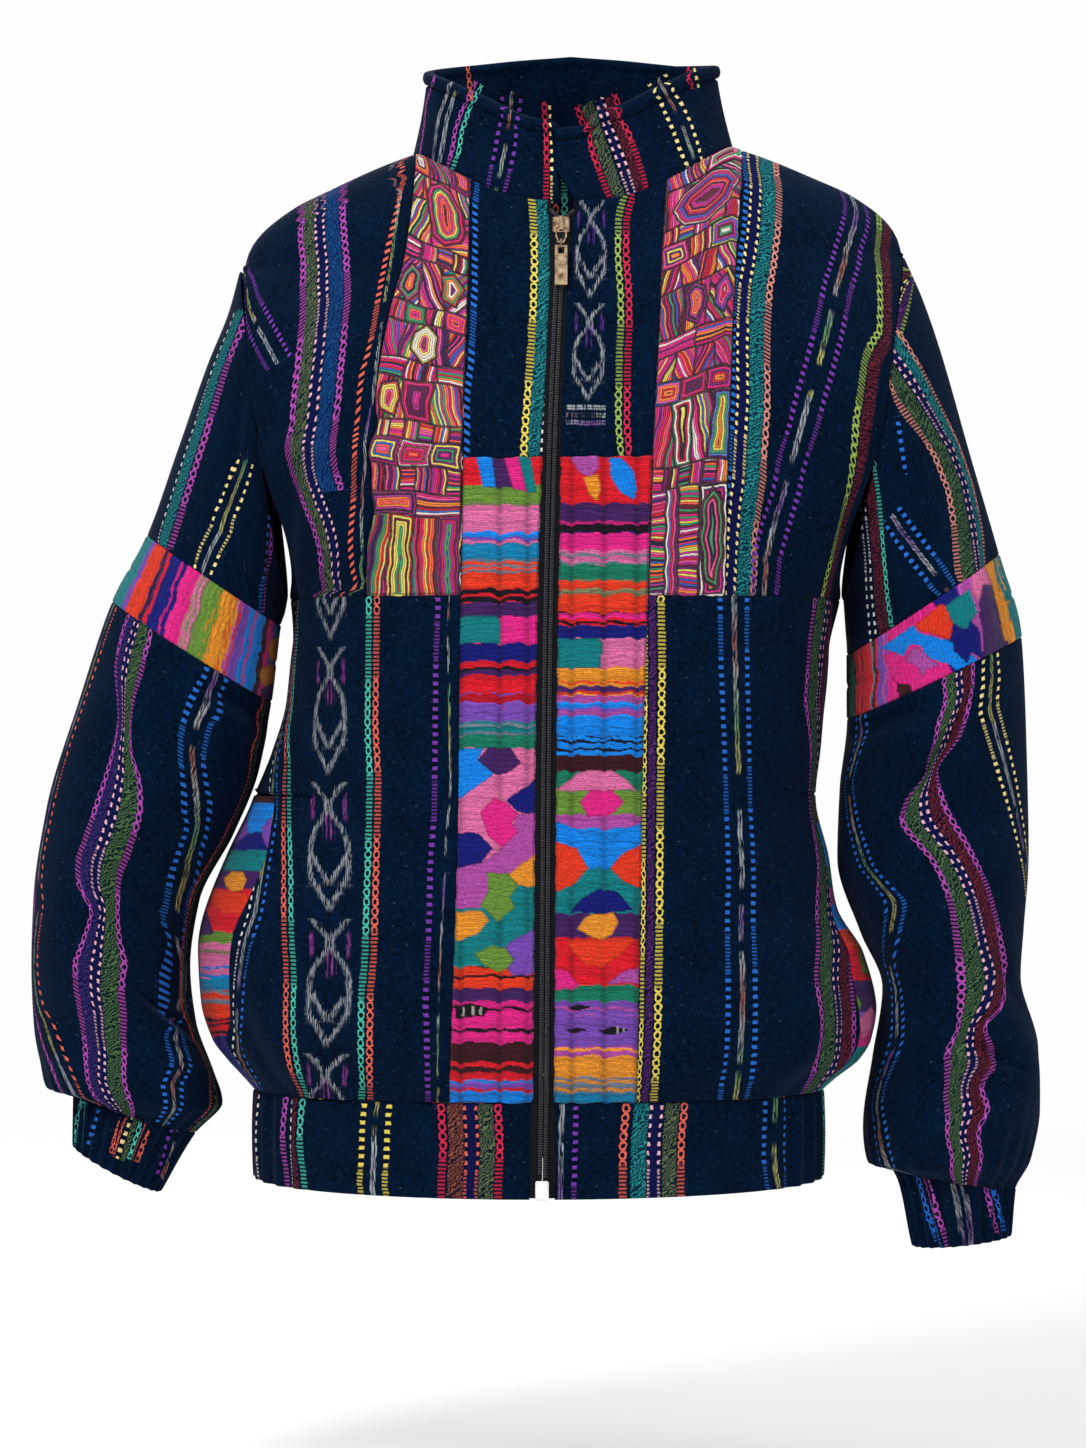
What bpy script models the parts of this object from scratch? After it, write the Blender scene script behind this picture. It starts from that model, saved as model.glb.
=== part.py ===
"""Zipped cotton jacket in the shape that it has when it is worn, built from its cut and sewn pieces.

Every cloth piece is a thin wall. Its outer side lies on one of three surfaces: the body, worked out
from horizontal rings, a sleeve, worked out from slanting sections, or the standing collar. A piece
stops a little short of its neighbours at every seam. The wearer faces -Y, with the right arm at -X.
"""

from functools import lru_cache
from math import atan2, cos, degrees, exp, hypot, pi, radians, sin, sqrt

import bmesh
import bpy
from mathutils import Matrix, Vector

# Driving sizes, in millimetres
MM = 0.001
CLOTH = 2.0
QUILTED_CLOTH = 2.6
SEAM_GAP = 0.15
MERGE = 1e-7

WAIST_SEAM = -600.0
HEM_FRONT = -659.0
HEM_SIDE = -651.0
YOKE_SEAM = -288.0
BROCADE_TOP = -203.0
POCKET_TOP = -412.0

ARMHOLE_TOP = -73.0
ARMHOLE_FOOT = -286.0
ARMHOLE_REACH_TOP = 210.0
ARMHOLE_REACH_FOOT = 176.0
ARMHOLE_DEPTH = 80.0
SHOULDER_LEAN = 0.022

WAIST_GATHERS = 40
WAIST_FLAT_TURN = 56.0
BACK_GATHERS = 22
SIDE_SEAM_TURN = 93.0
CUFF_GATHERS = 24
GATHER_DEPTH = 1.5

ZIP_HALF_WIDTH = 7.7
ZIP_BEAD_HEIGHT = 0.8
ZIP_TAPE_DROP = 0.6
ZIP_TAPE_BACK = 1.6

# Height, centre x, half width, depth in front, depth behind, squareness of the horizontal ring
BODY_RINGS = [
    (25, 0, 4, 50, 60, 2.0),
    (14, 0, 60, 58, 69, 2.0),
    (1, 0, 95, 66, 76, 2.0),
    (-9.5, 0, 125, 70, 82, 2.0),
    (-22.5, 0, 155, 75, 88, 2.0),
    (-34, 0, 179, 80, 92, 2.0),
    (-51.5, 0, 201, 86, 97, 2.05),
    (-62, 0, 207.5, 90, 100, 2.1),
    (-73, 0, 210, 94, 103, 2.1),
    (-120, -2, 205, 109, 112, 2.15),
    (-200, -4, 190, 126, 119, 2.2),
    (-286, -5, 176, 134, 118, 2.25),
    (-320, -8, 172, 137, 117, 2.3),
    (-352, -11, 172, 139, 116, 2.3),
    (-384, -17, 175, 141, 115, 2.3),
    (-416, -25, 180, 142, 116, 2.3),
    (-450, -29, 192, 144, 120, 2.3),
    (-485, -33, 202, 146, 125, 2.3),
    (-513, -27, 212.5, 147, 128, 2.3),
    (-544, -22, 215.5, 146, 129, 2.3),
    (-567, -20, 210.5, 142, 126, 2.3),
    (-580, -19, 202, 138, 122, 2.3),
    (-592, -21, 189, 131, 117, 2.3),
    (-600, -22, 181, 125, 112, 2.3),
]

# Height, x of the zip's centre
ZIP_LINE = [(10, -7), (-46, -7.2), (-60, -8), (-203, -14), (-350, -17), (-600, -19), (-660, -19.8)]

# Height, half width of the gap between the front edges, where the zip is open
ZIP_PARTING = [(10, 5), (-40, 6.5), (-46, 7), (-53, 0.6), (-56, 0.15), (-660, 0.15)]

# Height, x of the embroidered panels' edges: right outer, right inner, left inner, left outer
EMBROIDERY_EDGES = [
    (10, -100, -64, 60, 108),
    (-10, -100, -64.5, 59, 107),
    (-72, -105, -65, 55, 102),
    (-104, -112, -65.7, 53.3, 99.7),
    (-167, -121, -67.8, 49.8, 96.7),
    (-229, -125.4, -69.5, 46.5, 94.4),
    (-288, -127.7, -70.1, 45.2, 93.6),
]

# Height, x of the brocade strips' outer edges, right and left
STRIP_EDGES = [(-203, -68.8, 47.9), (-288, -70.1, 45.2), (-420, -71.1, 41.2), (-600, -76.8, 38.4)]

# Height, turn of the slanting pocket mouth on the right and on the left, in degrees from the front
POCKET_EDGES = [
    (-412, -66.7, 79),
    (-452, -62, 78.8),
    (-475, -63, 78.5),
    (-500, -66, 75),
    (-531, -69, 72.5),
    (-550, -71, 73.5),
    (-570, -75, 77),
    (-600, -77, 79),
]

# Distance from the middle, height of the neck seam in front and behind, down to the shoulder
NECK_FRONT = [(0, -40), (20, -39.3), (40, -35.5), (60, -26.8), (82, -14), (95, -5.6), (102, -1.6)]
NECK_BACK = [(0, 12), (40, 10.8), (60, 8.8), (82, 4.4), (95, 0.6), (102, -1.6)]
NECK_SIDE = 102.0

# How far below those seams a piece's edge stays. The shoulder is so flat there that a hair is enough.
NECK_DROP = 0.4
SHOULDER_DROP = 0.0001

# Soft creases of the body: turn in degrees, height, half length, half width, depth, slant in degrees
BODY_CREASES = [
    (-59, -205, 70, 16, 7.0, 14),
    (-72, -255, 42, 12, -6.0, -38),
    (63, -200, 80, 15, 6.0, -10),
    (74, -262, 40, 12, -5.0, 34),
    (-46, -150, 60, 20, 3.5, 10),
    (-30, -470, 120, 16, 2.5, 0),
    (34, -455, 120, 16, 2.5, 3),
    (-58, -560, 46, 9, 4.5, 6),
    (-71, -556, 40, 8, -4.0, -4),
    (58, -562, 44, 9, 4.5, -5),
    (70, -560, 36, 8, -4.0, 4),
    (-145, -170, 90, 18, 5.0, 16),
    (145, -170, 90, 18, 5.0, -16),
    (-130, -480, 110, 20, 5.0, 4),
    (130, -470, 110, 20, 5.0, -4),
    (-165, -500, 100, 16, 4.0, 0),
    (163, -505, 95, 16, 4.0, 0),
]

# Sleeve sections from the armhole to the cuff's edge: place along the sleeve, outer edge x and z,
# inner edge x and z, half depth, centre y. The first sits on the armhole.
RIGHT_SLEEVE = [
    (0.0, -212.7, -77.5, -182.7, -286.2, 80.0, 0),
    (0.4, -219.5, -103.0, -183.0, -287.5, 80.0, -1),
    (1.0, -233.0, -137.0, -183.4, -291.0, 79.0, -3),
    (2.0, -252.0, -192.0, -184.5, -297.0, 78.0, -6),
    (3.0, -271.5, -247.0, -186.5, -304.0, 76.0, -8),
    (4.0, -293.5, -289.0, -192.5, -352.5, 76.0, -10),
    (5.0, -314.5, -352.0, -200.5, -397.0, 74.5, -12),
    (6.0, -335.0, -420.0, -216.5, -437.0, 73.0, -12),
    (7.0, -343.5, -476.0, -238.5, -480.0, 71.0, -11),
    (8.0, -345.0, -520.0, -244.5, -522.0, 69.0, -10),
    (9.0, -343.5, -558.0, -241.0, -556.0, 68.0, -10),
    (10.0, -339.0, -583.0, -230.0, -588.0, 66.0, -12),
    (10.6, -334.0, -598.0, -224.5, -608.0, 58.0, -14),
    (11.0, -317.0, -601.5, -241.5, -626.5, 39.0, -16),
    (12.0, -317.4, -635.5, -263.6, -664.0, 33.0, -18),
]
LEFT_SLEEVE = [
    (0.0, 211.2, -68.3, 171.9, -286.2, 80.0, 0),
    (0.4, 222.5, -94.0, 173.3, -288.5, 80.0, -1),
    (1.0, 233.5, -126.0, 173.6, -294.0, 79.0, -3),
    (2.0, 253.0, -195.0, 174.2, -307.0, 78.0, -6),
    (3.0, 271.5, -259.0, 175.0, -322.5, 76.0, -8),
    (4.0, 285.5, -311.5, 175.0, -363.5, 76.0, -10),
    (5.0, 288.5, -377.0, 170.0, -409.0, 74.5, -12),
    (6.0, 290.0, -448.0, 168.5, -453.0, 73.0, -12),
    (7.0, 287.0, -495.0, 183.0, -499.0, 71.0, -11),
    (8.0, 285.0, -528.0, 197.5, -536.0, 69.0, -10),
    (9.0, 296.0, -572.0, 191.0, -580.0, 68.0, -10),
    (10.0, 296.5, -612.0, 185.0, -622.0, 66.0, -12),
    (10.6, 290.5, -643.0, 189.0, -646.0, 58.0, -14),
    (11.0, 280.5, -662.0, 204.5, -651.0, 39.0, -16),
    (12.0, 277.6, -692.0, 217.0, -699.0, 33.0, -18),
]

# A sleeve's pieces: where along it each begins and ends, and its columns and rows
SLEEVE_PARTS = {
    "upper_sleeve": (0.0, 3.0, 24, 6),
    "sleeve_band": (3.0, 4.0, 48, 2),
    "lower_sleeve": (4.0, 11.0, 48, 9),
    "cuff": (11.0, 12.0, 48, 2),
}

# Sleeve creases: place along the sleeve, turn from the outer edge through the front, half length
# along, half width round, depth, slant
RIGHT_SLEEVE_CREASES = [
    (1.3, 120, 1.2, 17, 5.0, -20),
    (2.0, 152, 1.0, 15, -5.0, -14),
    (4.7, 60, 0.8, 22, 3.0, 30),
    (5.6, 118, 0.9, 18, -4.0, -24),
    (6.6, 70, 1.1, 24, 3.5, 20),
    (8.7, 118, 0.9, 24, 6.0, -30),
    (9.4, 76, 0.8, 22, -5.0, -26),
    (9.7, 140, 0.6, 18, 4.0, 10),
    (6.2, 250, 1.6, 22, 5.0, 16),
    (8.8, 285, 1.2, 22, -5.0, -14),
]
LEFT_SLEEVE_CREASES = [
    (1.3, 118, 1.3, 16, 5.0, 18),
    (2.2, 140, 1.0, 14, -5.0, 12),
    (3.4, 60, 0.6, 15, 7.5, -8),
    (3.4, 38, 0.6, 13, -5.0, -8),
    (4.7, 104, 0.5, 30, 6.0, 12),
    (5.2, 80, 0.5, 30, -5.0, 14),
    (6.3, 116, 1.2, 20, 3.0, -20),
    (8.9, 48, 0.8, 20, 6.0, 24),
    (9.6, 96, 0.8, 20, -4.0, -12),
    (6.4, 255, 1.6, 22, 5.0, -16),
    (8.9, 290, 1.2, 22, -5.0, 14),
]

# Turn from the front, height of the collar's rim, reach of the rim from its centre
COLLAR_RIM_HEIGHT = [(0, 8), (20, 12), (45, 27), (70, 42), (90, 50), (120, 59), (150, 65), (180, 68)]
COLLAR_HALF_WIDTH = 92.0
COLLAR_DEPTH_FRONT = 71.0
COLLAR_DEPTH_BACK = 62.0

# Share of the collar's height, x of its two front edges
COLLAR_FRONT_EDGES = [(0, -13.3, 0.0), (0.2, -13.1, -5.2), (0.42, -12.9, -10.3), (1, -12.4, -11.5)]

# Share of the collar's height and thickness of the collar there, inwards from its outer side
COLLAR_PROFILE = [
    (0.0, 0.0),
    (0.45, 0.0),
    (0.84, 0.0),
    (0.88, -1.6),
    (0.94, -2.4),
    (1.0, -0.6),
    (1.0, 3.2),
    (0.94, 4.6),
    (0.85, 3.0),
    (0.45, 3.0),
    (0.0, 3.0),
]

# Zip slider and its pull: the hinge on the slider, and how far the cloth there leans from upright
LINK_PIVOT = (-8.0, -92.9, -58.3)
CLOTH_LEAN = 20.0
PULL_WIRE = 0.6
LINK_WIDTH = 7.4
LINK_LENGTH = 11.0
TAB_WIDTH = 7.9
TAB_LENGTH = 27.0
TAB_THICKNESS = 1.6

NAVY = (0.012, 0.024, 0.060, 1)
EMBROIDERY_PINK = (0.42, 0.05, 0.20, 1)
BROCADE_RED = (0.55, 0.06, 0.07, 1)
TAPE_BLACK = (0.008, 0.008, 0.010, 1)
AGED_BRASS = (0.56, 0.40, 0.28, 1)
BOX_WHITE = (0.80, 0.80, 0.80, 1)


def clear_scene():
    for old in list(bpy.data.objects):
        bpy.data.objects.remove(old)


def make_collection(name):
    collection = bpy.data.collections.new(name)
    bpy.context.scene.collection.children.link(collection)
    return collection


def finish_object(obj, colour, roughness=0.9, metallic=0.0):
    material = bpy.data.materials.new(obj.name)
    material.use_nodes = True
    shader = material.node_tree.nodes["Principled BSDF"]
    shader.inputs["Base Color"].default_value = colour
    shader.inputs["Roughness"].default_value = roughness
    shader.inputs["Metallic"].default_value = metallic
    obj.data.materials.append(material)
    return obj


def read_table(table, key):
    """The values of a table at a key, on a smooth curve through its rows that never overshoots."""
    rows = sorted(table)
    if key <= rows[0][0]:
        return rows[0][1:]
    if key >= rows[-1][0]:
        return rows[-1][1:]
    low = max(index for index, row in enumerate(rows) if row[0] <= key)
    span = rows[low + 1][0] - rows[low][0]
    share = (key - rows[low][0]) / span
    values = []
    for column in range(1, len(rows[0])):
        here = secant(rows, low, column)
        start = mean_slope(secant(rows, low - 1, column) if low > 0 else here, here)
        end = mean_slope(here, secant(rows, low + 1, column) if low + 2 < len(rows) else here)
        first = rows[low][column]
        rise = rows[low + 1][column] - first
        bend = start * span * share * (1 - share) ** 2 - end * span * share**2 * (1 - share)
        values.append(first + rise * share * share * (3 - 2 * share) + bend)
    return tuple(values)


def secant(rows, low, column):
    return (rows[low + 1][column] - rows[low][column]) / (rows[low + 1][0] - rows[low][0])


def mean_slope(before, after):
    if before * after <= 0:
        return 0.0
    return 2 * before * after / (before + after)


def crease_rise(along, across, half_length, half_width, depth):
    """Height of one soft crease, which fades out along its length and to each side."""
    return depth * exp(-((along / half_length) ** 2) - (across / half_width) ** 2)


def armhole_share(height):
    return (height - ARMHOLE_TOP) / (ARMHOLE_FOOT - ARMHOLE_TOP)


def armhole_reach(height):
    return ARMHOLE_REACH_TOP + (ARMHOLE_REACH_FOOT - ARMHOLE_REACH_TOP) * armhole_share(height)


def armhole_half_depth(height):
    share = 2 * armhole_share(height) - 1
    return ARMHOLE_DEPTH * sqrt(max(0.0, 1 - share * share))


def ring(height, behind):
    """Centre x, half width, depth and squareness of the body's ring, for its front or its back.

    Beside the armholes the ring is wider than the body, and the armhole cuts its end off.
    """
    centre, half, front, back, power = read_table(BODY_RINGS, height)
    depth = back if behind else front
    if ARMHOLE_FOOT < height < ARMHOLE_TOP:
        cut = armhole_half_depth(height) / depth
        half = armhole_reach(height) / (1 - cut**power) ** (1 / power)
    return centre, half, depth, power


def body_relief(turn, height):
    rise = 0.0
    for crease_turn, crease_height, half_length, half_width, depth, slant in BODY_CREASES:
        down = height - crease_height
        if abs(down) > 2.6 * half_length:
            continue
        round_body = (turn - crease_turn + 180) % 360 - 180
        across = radians(round_body) * 150 + down * sin(radians(slant))
        rise += crease_rise(down, across, half_length, half_width, depth)
    near_seam = max(0.0, 1 - (height - WAIST_SEAM) / 60)
    gathered = smooth_step((abs(turn) - 88) / 12)
    wave = cos(2 * pi * BACK_GATHERS * (180 - abs(turn)) / (360 - 2 * SIDE_SEAM_TURN))
    return rise + gathered * near_seam**2 * 2.0 * wave


def smooth_step(share):
    share = min(1.0, max(0.0, share))
    return share * share * (3 - 2 * share)


def body_point(turn, height):
    """A point of the body's outer side: turn is 0 at the centre front and positive to the left arm."""
    behind = abs(turn) > 90
    centre, half, depth, power = ring(height, behind)
    side = sin(radians(turn))
    ahead = cos(radians(turn))
    reach = (abs(side / half) ** power + abs(ahead / depth) ** power) ** (-1 / power)
    reach += body_relief(turn, height)
    lean = SHOULDER_LEAN * reach * side * min(1.0, max(0.0, 1 - armhole_share(height)))
    return Vector((centre + reach * side, -reach * ahead, height + lean))


def body_normal(turn, height):
    """Outward direction of the body, over a step long enough to smooth the finest gathers."""
    turn_step = 1.5
    height_step = 3.0
    round_body = body_point(turn + turn_step, height) - body_point(turn - turn_step, height)
    upwards = body_point(turn, height + height_step) - body_point(turn, height - height_step)
    return round_body.cross(upwards).normalized()


def body_wall_point(turn, height, depth):
    return (body_point(turn, height) - body_normal(turn, height) * depth) * MM


def turn_at(x, height, behind=False):
    """The turn at which the body's ring has this x, on its front or its back half."""
    centre, half, depth, power = ring(height, behind)
    share = min(1.0, abs(x - centre) / half)
    ahead = depth * (1 - share**power) ** (1 / power)
    turn = degrees(atan2(x - centre, ahead))
    return (180 - abs(turn)) * (1 if turn > 0 else -1) if behind else turn


def top_height(x, behind=False):
    """Height of the neck seam or, beyond the neck, of the shoulder seam."""
    distance = abs(x)
    if distance < NECK_SIDE:
        return read_table(NECK_BACK if behind else NECK_FRONT, distance)[0]
    return shoulder_height(round(distance, 6))


@lru_cache(maxsize=None)
def shoulder_height(distance):
    """Height of the shoulder seam: the one at which the body's ring is this wide."""
    low, high = ARMHOLE_TOP, BODY_RINGS[0][0]
    for _ in range(40):
        middle = (low + high) / 2
        low, high = (middle, high) if read_table(BODY_RINGS, middle)[1] > distance else (low, middle)
    return low


def mix(first, second, share):
    return first + (second - first) * share


def cloth_wall(name, columns, rows, place, thickness, colour, tube=False):
    """A cloth piece: a grid laid on the piece's surface, with a second layer inside it.

    place gives the point at a share across, a share down and a depth inwards from the outer side.
    """
    sheet = bmesh.new()
    bmesh.ops.create_grid(sheet, x_segments=columns, y_segments=rows, size=0.5)
    across = sheet.verts.layers.float.new("across")
    down = sheet.verts.layers.float.new("down")
    for vert in sheet.verts:
        vert[across] = vert.co.x + 0.5
        vert[down] = 0.5 - vert.co.y
        vert.co = place(vert[across], vert[down], 0.0)
    if tube:
        bmesh.ops.remove_doubles(sheet, verts=sheet.verts, dist=MERGE)
    inner = bmesh.ops.extrude_face_region(sheet, geom=sheet.faces[:])
    for item in inner["geom"]:
        if isinstance(item, bmesh.types.BMVert):
            item.co = place(item[across], item[down], thickness)
    bmesh.ops.recalc_face_normals(sheet, faces=sheet.faces)
    mesh = bpy.data.meshes.new(name)
    sheet.to_mesh(mesh)
    sheet.free()
    obj = bpy.data.objects.new(name, mesh)
    jacket.objects.link(obj)
    return finish_object(obj, colour)


def row_share(down):
    """Rows that crowd together at a piece's top and foot, where a shoulder or armhole turns over."""
    return (1 - cos(pi * down)) / 2


def front_piece(name, columns, rows, edge_a, edge_b, top, foot, cloth):
    """A piece of the front between two upright edges, given as functions from height to x.

    The top is a function from x to height, or a number; the foot is a number. The cloth is a pair:
    its thickness and its colour.
    """

    def place(across, down, depth):
        highest = top
        if callable(top):
            x = mix(edge_a(foot), edge_b(foot), across)
            for _ in range(6):
                highest = top(x)
                x = mix(edge_a(highest) + SEAM_GAP, edge_b(highest) - SEAM_GAP, across)
            highest -= NECK_DROP if abs(x) < NECK_SIDE else SHOULDER_DROP
        else:
            highest -= SEAM_GAP
        height = mix(highest, foot + SEAM_GAP, row_share(down))
        x = mix(edge_a(height) + SEAM_GAP, edge_b(height) - SEAM_GAP, across)
        return body_wall_point(turn_at(x, height), height, depth)

    return cloth_wall(name, columns, rows, place, *cloth)


def zip_edge(side):
    """Edge of the front beside the zip, as a function from height to x. The right side is -1."""

    def edge(height):
        parting = read_table(ZIP_PARTING, height)[0]
        return read_table(ZIP_LINE, height)[0] + side * (ZIP_HALF_WIDTH + 0.35 * parting)

    return edge


def table_edge(table, column):
    return lambda height: read_table(table, height)[column]


def armhole_edge(side):
    """Outer edge of the shoulder panels: the armhole, and above it the end of the shoulder seam."""

    def edge(height):
        centre = read_table(BODY_RINGS, min(height, ARMHOLE_TOP))[0]
        return centre + side * armhole_reach(min(max(height, ARMHOLE_FOOT), ARMHOLE_TOP))

    return edge


def make_fronts():
    right_outer, right_inner, left_inner, left_outer = (table_edge(EMBROIDERY_EDGES, i) for i in range(4))
    right_zip, left_zip = zip_edge(-1), zip_edge(1)
    right_strip, left_strip = (table_edge(STRIP_EDGES, i) for i in range(2))

    def below(edge, other):
        return lambda height: edge(height) if height > BROCADE_TOP else other(height)

    right_inside = below(right_inner, right_strip)
    left_inside = below(left_inner, left_strip)
    plain = (CLOTH, NAVY)
    embroidered = (QUILTED_CLOTH, EMBROIDERY_PINK)
    brocade = (QUILTED_CLOTH, BROCADE_RED)
    front_piece("chest_panel_right", 5, 7, right_inner, right_zip, top_height, BROCADE_TOP, plain)
    front_piece("chest_panel_left", 5, 7, left_zip, left_inner, top_height, BROCADE_TOP, plain)
    foot = YOKE_SEAM
    front_piece("embroidered_panel_right", 5, 12, right_outer, right_inside, top_height, foot, embroidered)
    front_piece("embroidered_panel_left", 5, 12, left_inside, left_outer, top_height, foot, embroidered)
    front_piece("shoulder_panel_right", 10, 12, armhole_edge(-1), right_outer, top_height, foot, plain)
    front_piece("shoulder_panel_left", 10, 12, left_outer, armhole_edge(1), top_height, foot, plain)
    front_piece("brocade_strip_right", 3, 14, right_strip, right_zip, BROCADE_TOP, WAIST_SEAM, brocade)
    front_piece("brocade_strip_left", 3, 14, left_zip, left_strip, BROCADE_TOP, WAIST_SEAM, brocade)


def side_seam_turn(height):
    """The side seam runs from the armhole's foot to just behind the body's side."""
    return mix(90.0, SIDE_SEAM_TURN, smooth_step((ARMHOLE_FOOT - height) / 60))


def lower_front_rows():
    """Heights of the rows, with two close together where the pocket mouth's top end cuts inwards."""
    upper = [mix(YOKE_SEAM - 3 * SEAM_GAP, POCKET_TOP + SEAM_GAP, step / 4) for step in range(5)]
    lower = [mix(POCKET_TOP - SEAM_GAP, WAIST_SEAM + SEAM_GAP, (step / 8) ** 0.85) for step in range(9)]
    return upper + lower


def make_lower_front(name, side, column):
    """Front below the yoke, from the brocade strip to the side seam, cut back at the pocket mouth."""
    heights = lower_front_rows()
    gap_turn = 0.07

    def place(across, down, depth):
        height = heights[round(down * (len(heights) - 1))]
        inner = turn_at(read_table(STRIP_EDGES, height)[column] + side * SEAM_GAP, height)
        outer = side * side_seam_turn(height)
        if height < POCKET_TOP:
            outer = read_table(POCKET_EDGES, height)[column]
        share = across if side > 0 else 1 - across
        return body_wall_point(mix(inner, outer - side * gap_turn, share), height, depth)

    return cloth_wall(name, 9, len(heights) - 1, place, CLOTH, NAVY)


def make_pocket_facing(name, side, column):
    """Brocade that shows in the pocket mouth, between the front's slanting edge and the side seam."""
    gap_turn = 0.07

    def place(across, down, depth):
        height = mix(POCKET_TOP - 4 * SEAM_GAP, WAIST_SEAM + SEAM_GAP, down**0.85)
        front = read_table(POCKET_EDGES, height)[column] + side * gap_turn
        seam = side * (side_seam_turn(height) - gap_turn)
        share = across if side > 0 else 1 - across
        return body_wall_point(mix(front, seam, share), height, depth)

    return cloth_wall(name, 3, 8, place, CLOTH, BROCADE_RED)


def make_back():
    """Back from the neck and shoulder seams to the waistband, round to both side seams."""
    upper_rows = 8
    lower_rows = 8
    gap_turn = 0.07

    def place(across, down, depth):
        row = round(down * (upper_rows + lower_rows))
        side = -1 if across > 0.5 else 1
        outwards = abs(2 * across - 1)
        edge = armhole_edge(side)
        if row <= upper_rows:
            x = edge(ARMHOLE_TOP) * outwards
            for _ in range(6):
                highest = top_height(x, behind=True)
                x = outwards * (edge(highest) - side * SEAM_GAP)
            highest -= NECK_DROP if abs(x) < NECK_SIDE else SHOULDER_DROP
            height = mix(highest, ARMHOLE_FOOT, row_share(row / upper_rows))
            x = outwards * (edge(height) - side * SEAM_GAP)
            return body_wall_point(turn_at(x, height, behind=True), height, depth)
        below = row - upper_rows
        height = mix(ARMHOLE_FOOT, WAIST_SEAM + SEAM_GAP, (below / lower_rows) ** 0.8)
        seam = side_seam_turn(height) + gap_turn
        centre, half = read_table(BODY_RINGS, height)[:2]
        by_x = abs(turn_at(centre + outwards * side * half, height, behind=True))
        by_turn = mix(180.0, seam, outwards)
        turn = mix(max(by_x, seam), by_turn, smooth_step(below / 4))
        return body_wall_point(side * turn, height, depth)

    return cloth_wall("back", 44, upper_rows + lower_rows, place, CLOTH, NAVY)


def waistband_turn(across):
    """Turn across the waistband: wide columns on the flat front, two to a gather round the rest."""
    flat_columns = 8
    gather_columns = 2 * WAIST_GATHERS
    total = 2 * flat_columns + gather_columns
    column = across * total
    edge = 4.6
    if column <= flat_columns:
        return mix(edge, WAIST_FLAT_TURN, column / flat_columns)
    if column >= flat_columns + gather_columns:
        return mix(360 - WAIST_FLAT_TURN, 360 - edge, (column - flat_columns - gather_columns) / flat_columns)
    return mix(WAIST_FLAT_TURN, 360 - WAIST_FLAT_TURN, (column - flat_columns) / gather_columns)


def waistband_point(turn, down, depth):
    """Band of doubled cloth below the waist seam, drawn into gathers by the elastic inside it."""
    centre, half, front_depth, power = ring(WAIST_SEAM, False)
    half = half + 0.8 * sin(pi * down)
    ring_depth = front_depth if cos(radians(turn)) > 0 else ring(WAIST_SEAM, True)[2]
    side = sin(radians(turn))
    ahead = cos(radians(turn))
    reach = (abs(side / half) ** power + abs(ahead / ring_depth) ** power) ** (-1 / power)
    from_flat = min(turn, 360 - turn) - WAIST_FLAT_TURN
    gathered = smooth_step(from_flat / 8)
    count = WAIST_GATHERS / (360 - 2 * WAIST_FLAT_TURN)
    reach += gathered * GATHER_DEPTH * cos(2 * pi * from_flat * count) - depth
    hem = mix((HEM_FRONT + HEM_SIDE) / 2, HEM_FRONT, ahead) if ahead > 0 else (HEM_FRONT + HEM_SIDE) / 2
    height = mix(WAIST_SEAM - SEAM_GAP, hem, down)
    return Vector((centre + reach * side, -reach * ahead, height)) * MM


def make_waistband():
    columns = 16 + 2 * WAIST_GATHERS

    def place(across, down, depth):
        turn = waistband_turn(across)
        point = waistband_point(turn, down, depth)
        if across in (0.0, 1.0):
            side = 1 if across == 0.0 else -1
            height = point.z / MM
            point.x = (read_table(ZIP_LINE, height)[0] + side * ZIP_HALF_WIDTH) * MM
        return point

    return cloth_wall("waistband", columns, 2, place, QUILTED_CLOTH, NAVY)


def sleeve_point(stations, creases, along, turn):
    """A point of a sleeve's outer side: turn is 0 at its outer edge, 90 in front, 180 inside."""
    outer_x, outer_z, inner_x, inner_z, half_depth, centre_y = read_table(stations, along)
    centre = Vector(((outer_x + inner_x) / 2, centre_y, (outer_z + inner_z) / 2))
    half_vector = Vector(((outer_x - inner_x) / 2, 0, (outer_z - inner_z) / 2))
    rise = sleeve_relief(creases, along, turn)
    half_width = half_vector.length
    outwards = half_vector.normalized() * (half_width + rise) * cos(radians(turn))
    ahead = Vector((0, -1, 0)) * (half_depth + rise) * sin(radians(turn))
    return centre + outwards + ahead


def sleeve_relief(creases, along, turn):
    rise = 0.0
    for crease_along, crease_turn, half_length, half_width, depth, slant in creases:
        further = along - crease_along
        round_arm = (turn - crease_turn + 180) % 360 - 180 + further * slant
        rise += crease_rise(further, round_arm, half_length, half_width, depth)
    near_band = max(0.0, min(1.0, along / 0.5, (11.0 - along) / 0.2))
    rise *= near_band
    wave = cos(radians(CUFF_GATHERS * turn))
    if along > 9.6:
        near_cuff = smooth_step((along - 9.6) / 1.4)
        rise += GATHER_DEPTH * near_cuff * wave
    return rise


def sleeve_normal(stations, creases, along, turn):
    """Outward direction of a sleeve, over steps long enough to smooth the finest gathers."""
    turn_step = 5.0
    along_step = 0.12
    ahead = sleeve_point(stations, creases, along, turn + turn_step)
    behind = sleeve_point(stations, creases, along, turn - turn_step)
    up = sleeve_point(stations, creases, max(0.0, along - along_step), turn)
    down = sleeve_point(stations, creases, min(12.0, along + along_step), turn)
    normal = (ahead - behind).cross(up - down).normalized()
    across = sleeve_point(stations, creases, along, turn) - sleeve_point(stations, creases, along, turn + 180)
    return normal if normal.dot(across) > 0 else -normal


def sleeve_seam_step(stations, along):
    """How far along the sleeve half of a seam's gap reaches, on the edge that moves less there."""
    before = read_table(stations, along - 0.05)
    after = read_table(stations, along + 0.05)
    outer = hypot(after[0] - before[0], after[1] - before[1])
    inner = hypot(after[2] - before[2], after[3] - before[3])
    return SEAM_GAP * 0.1 / min(outer, inner)


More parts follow.
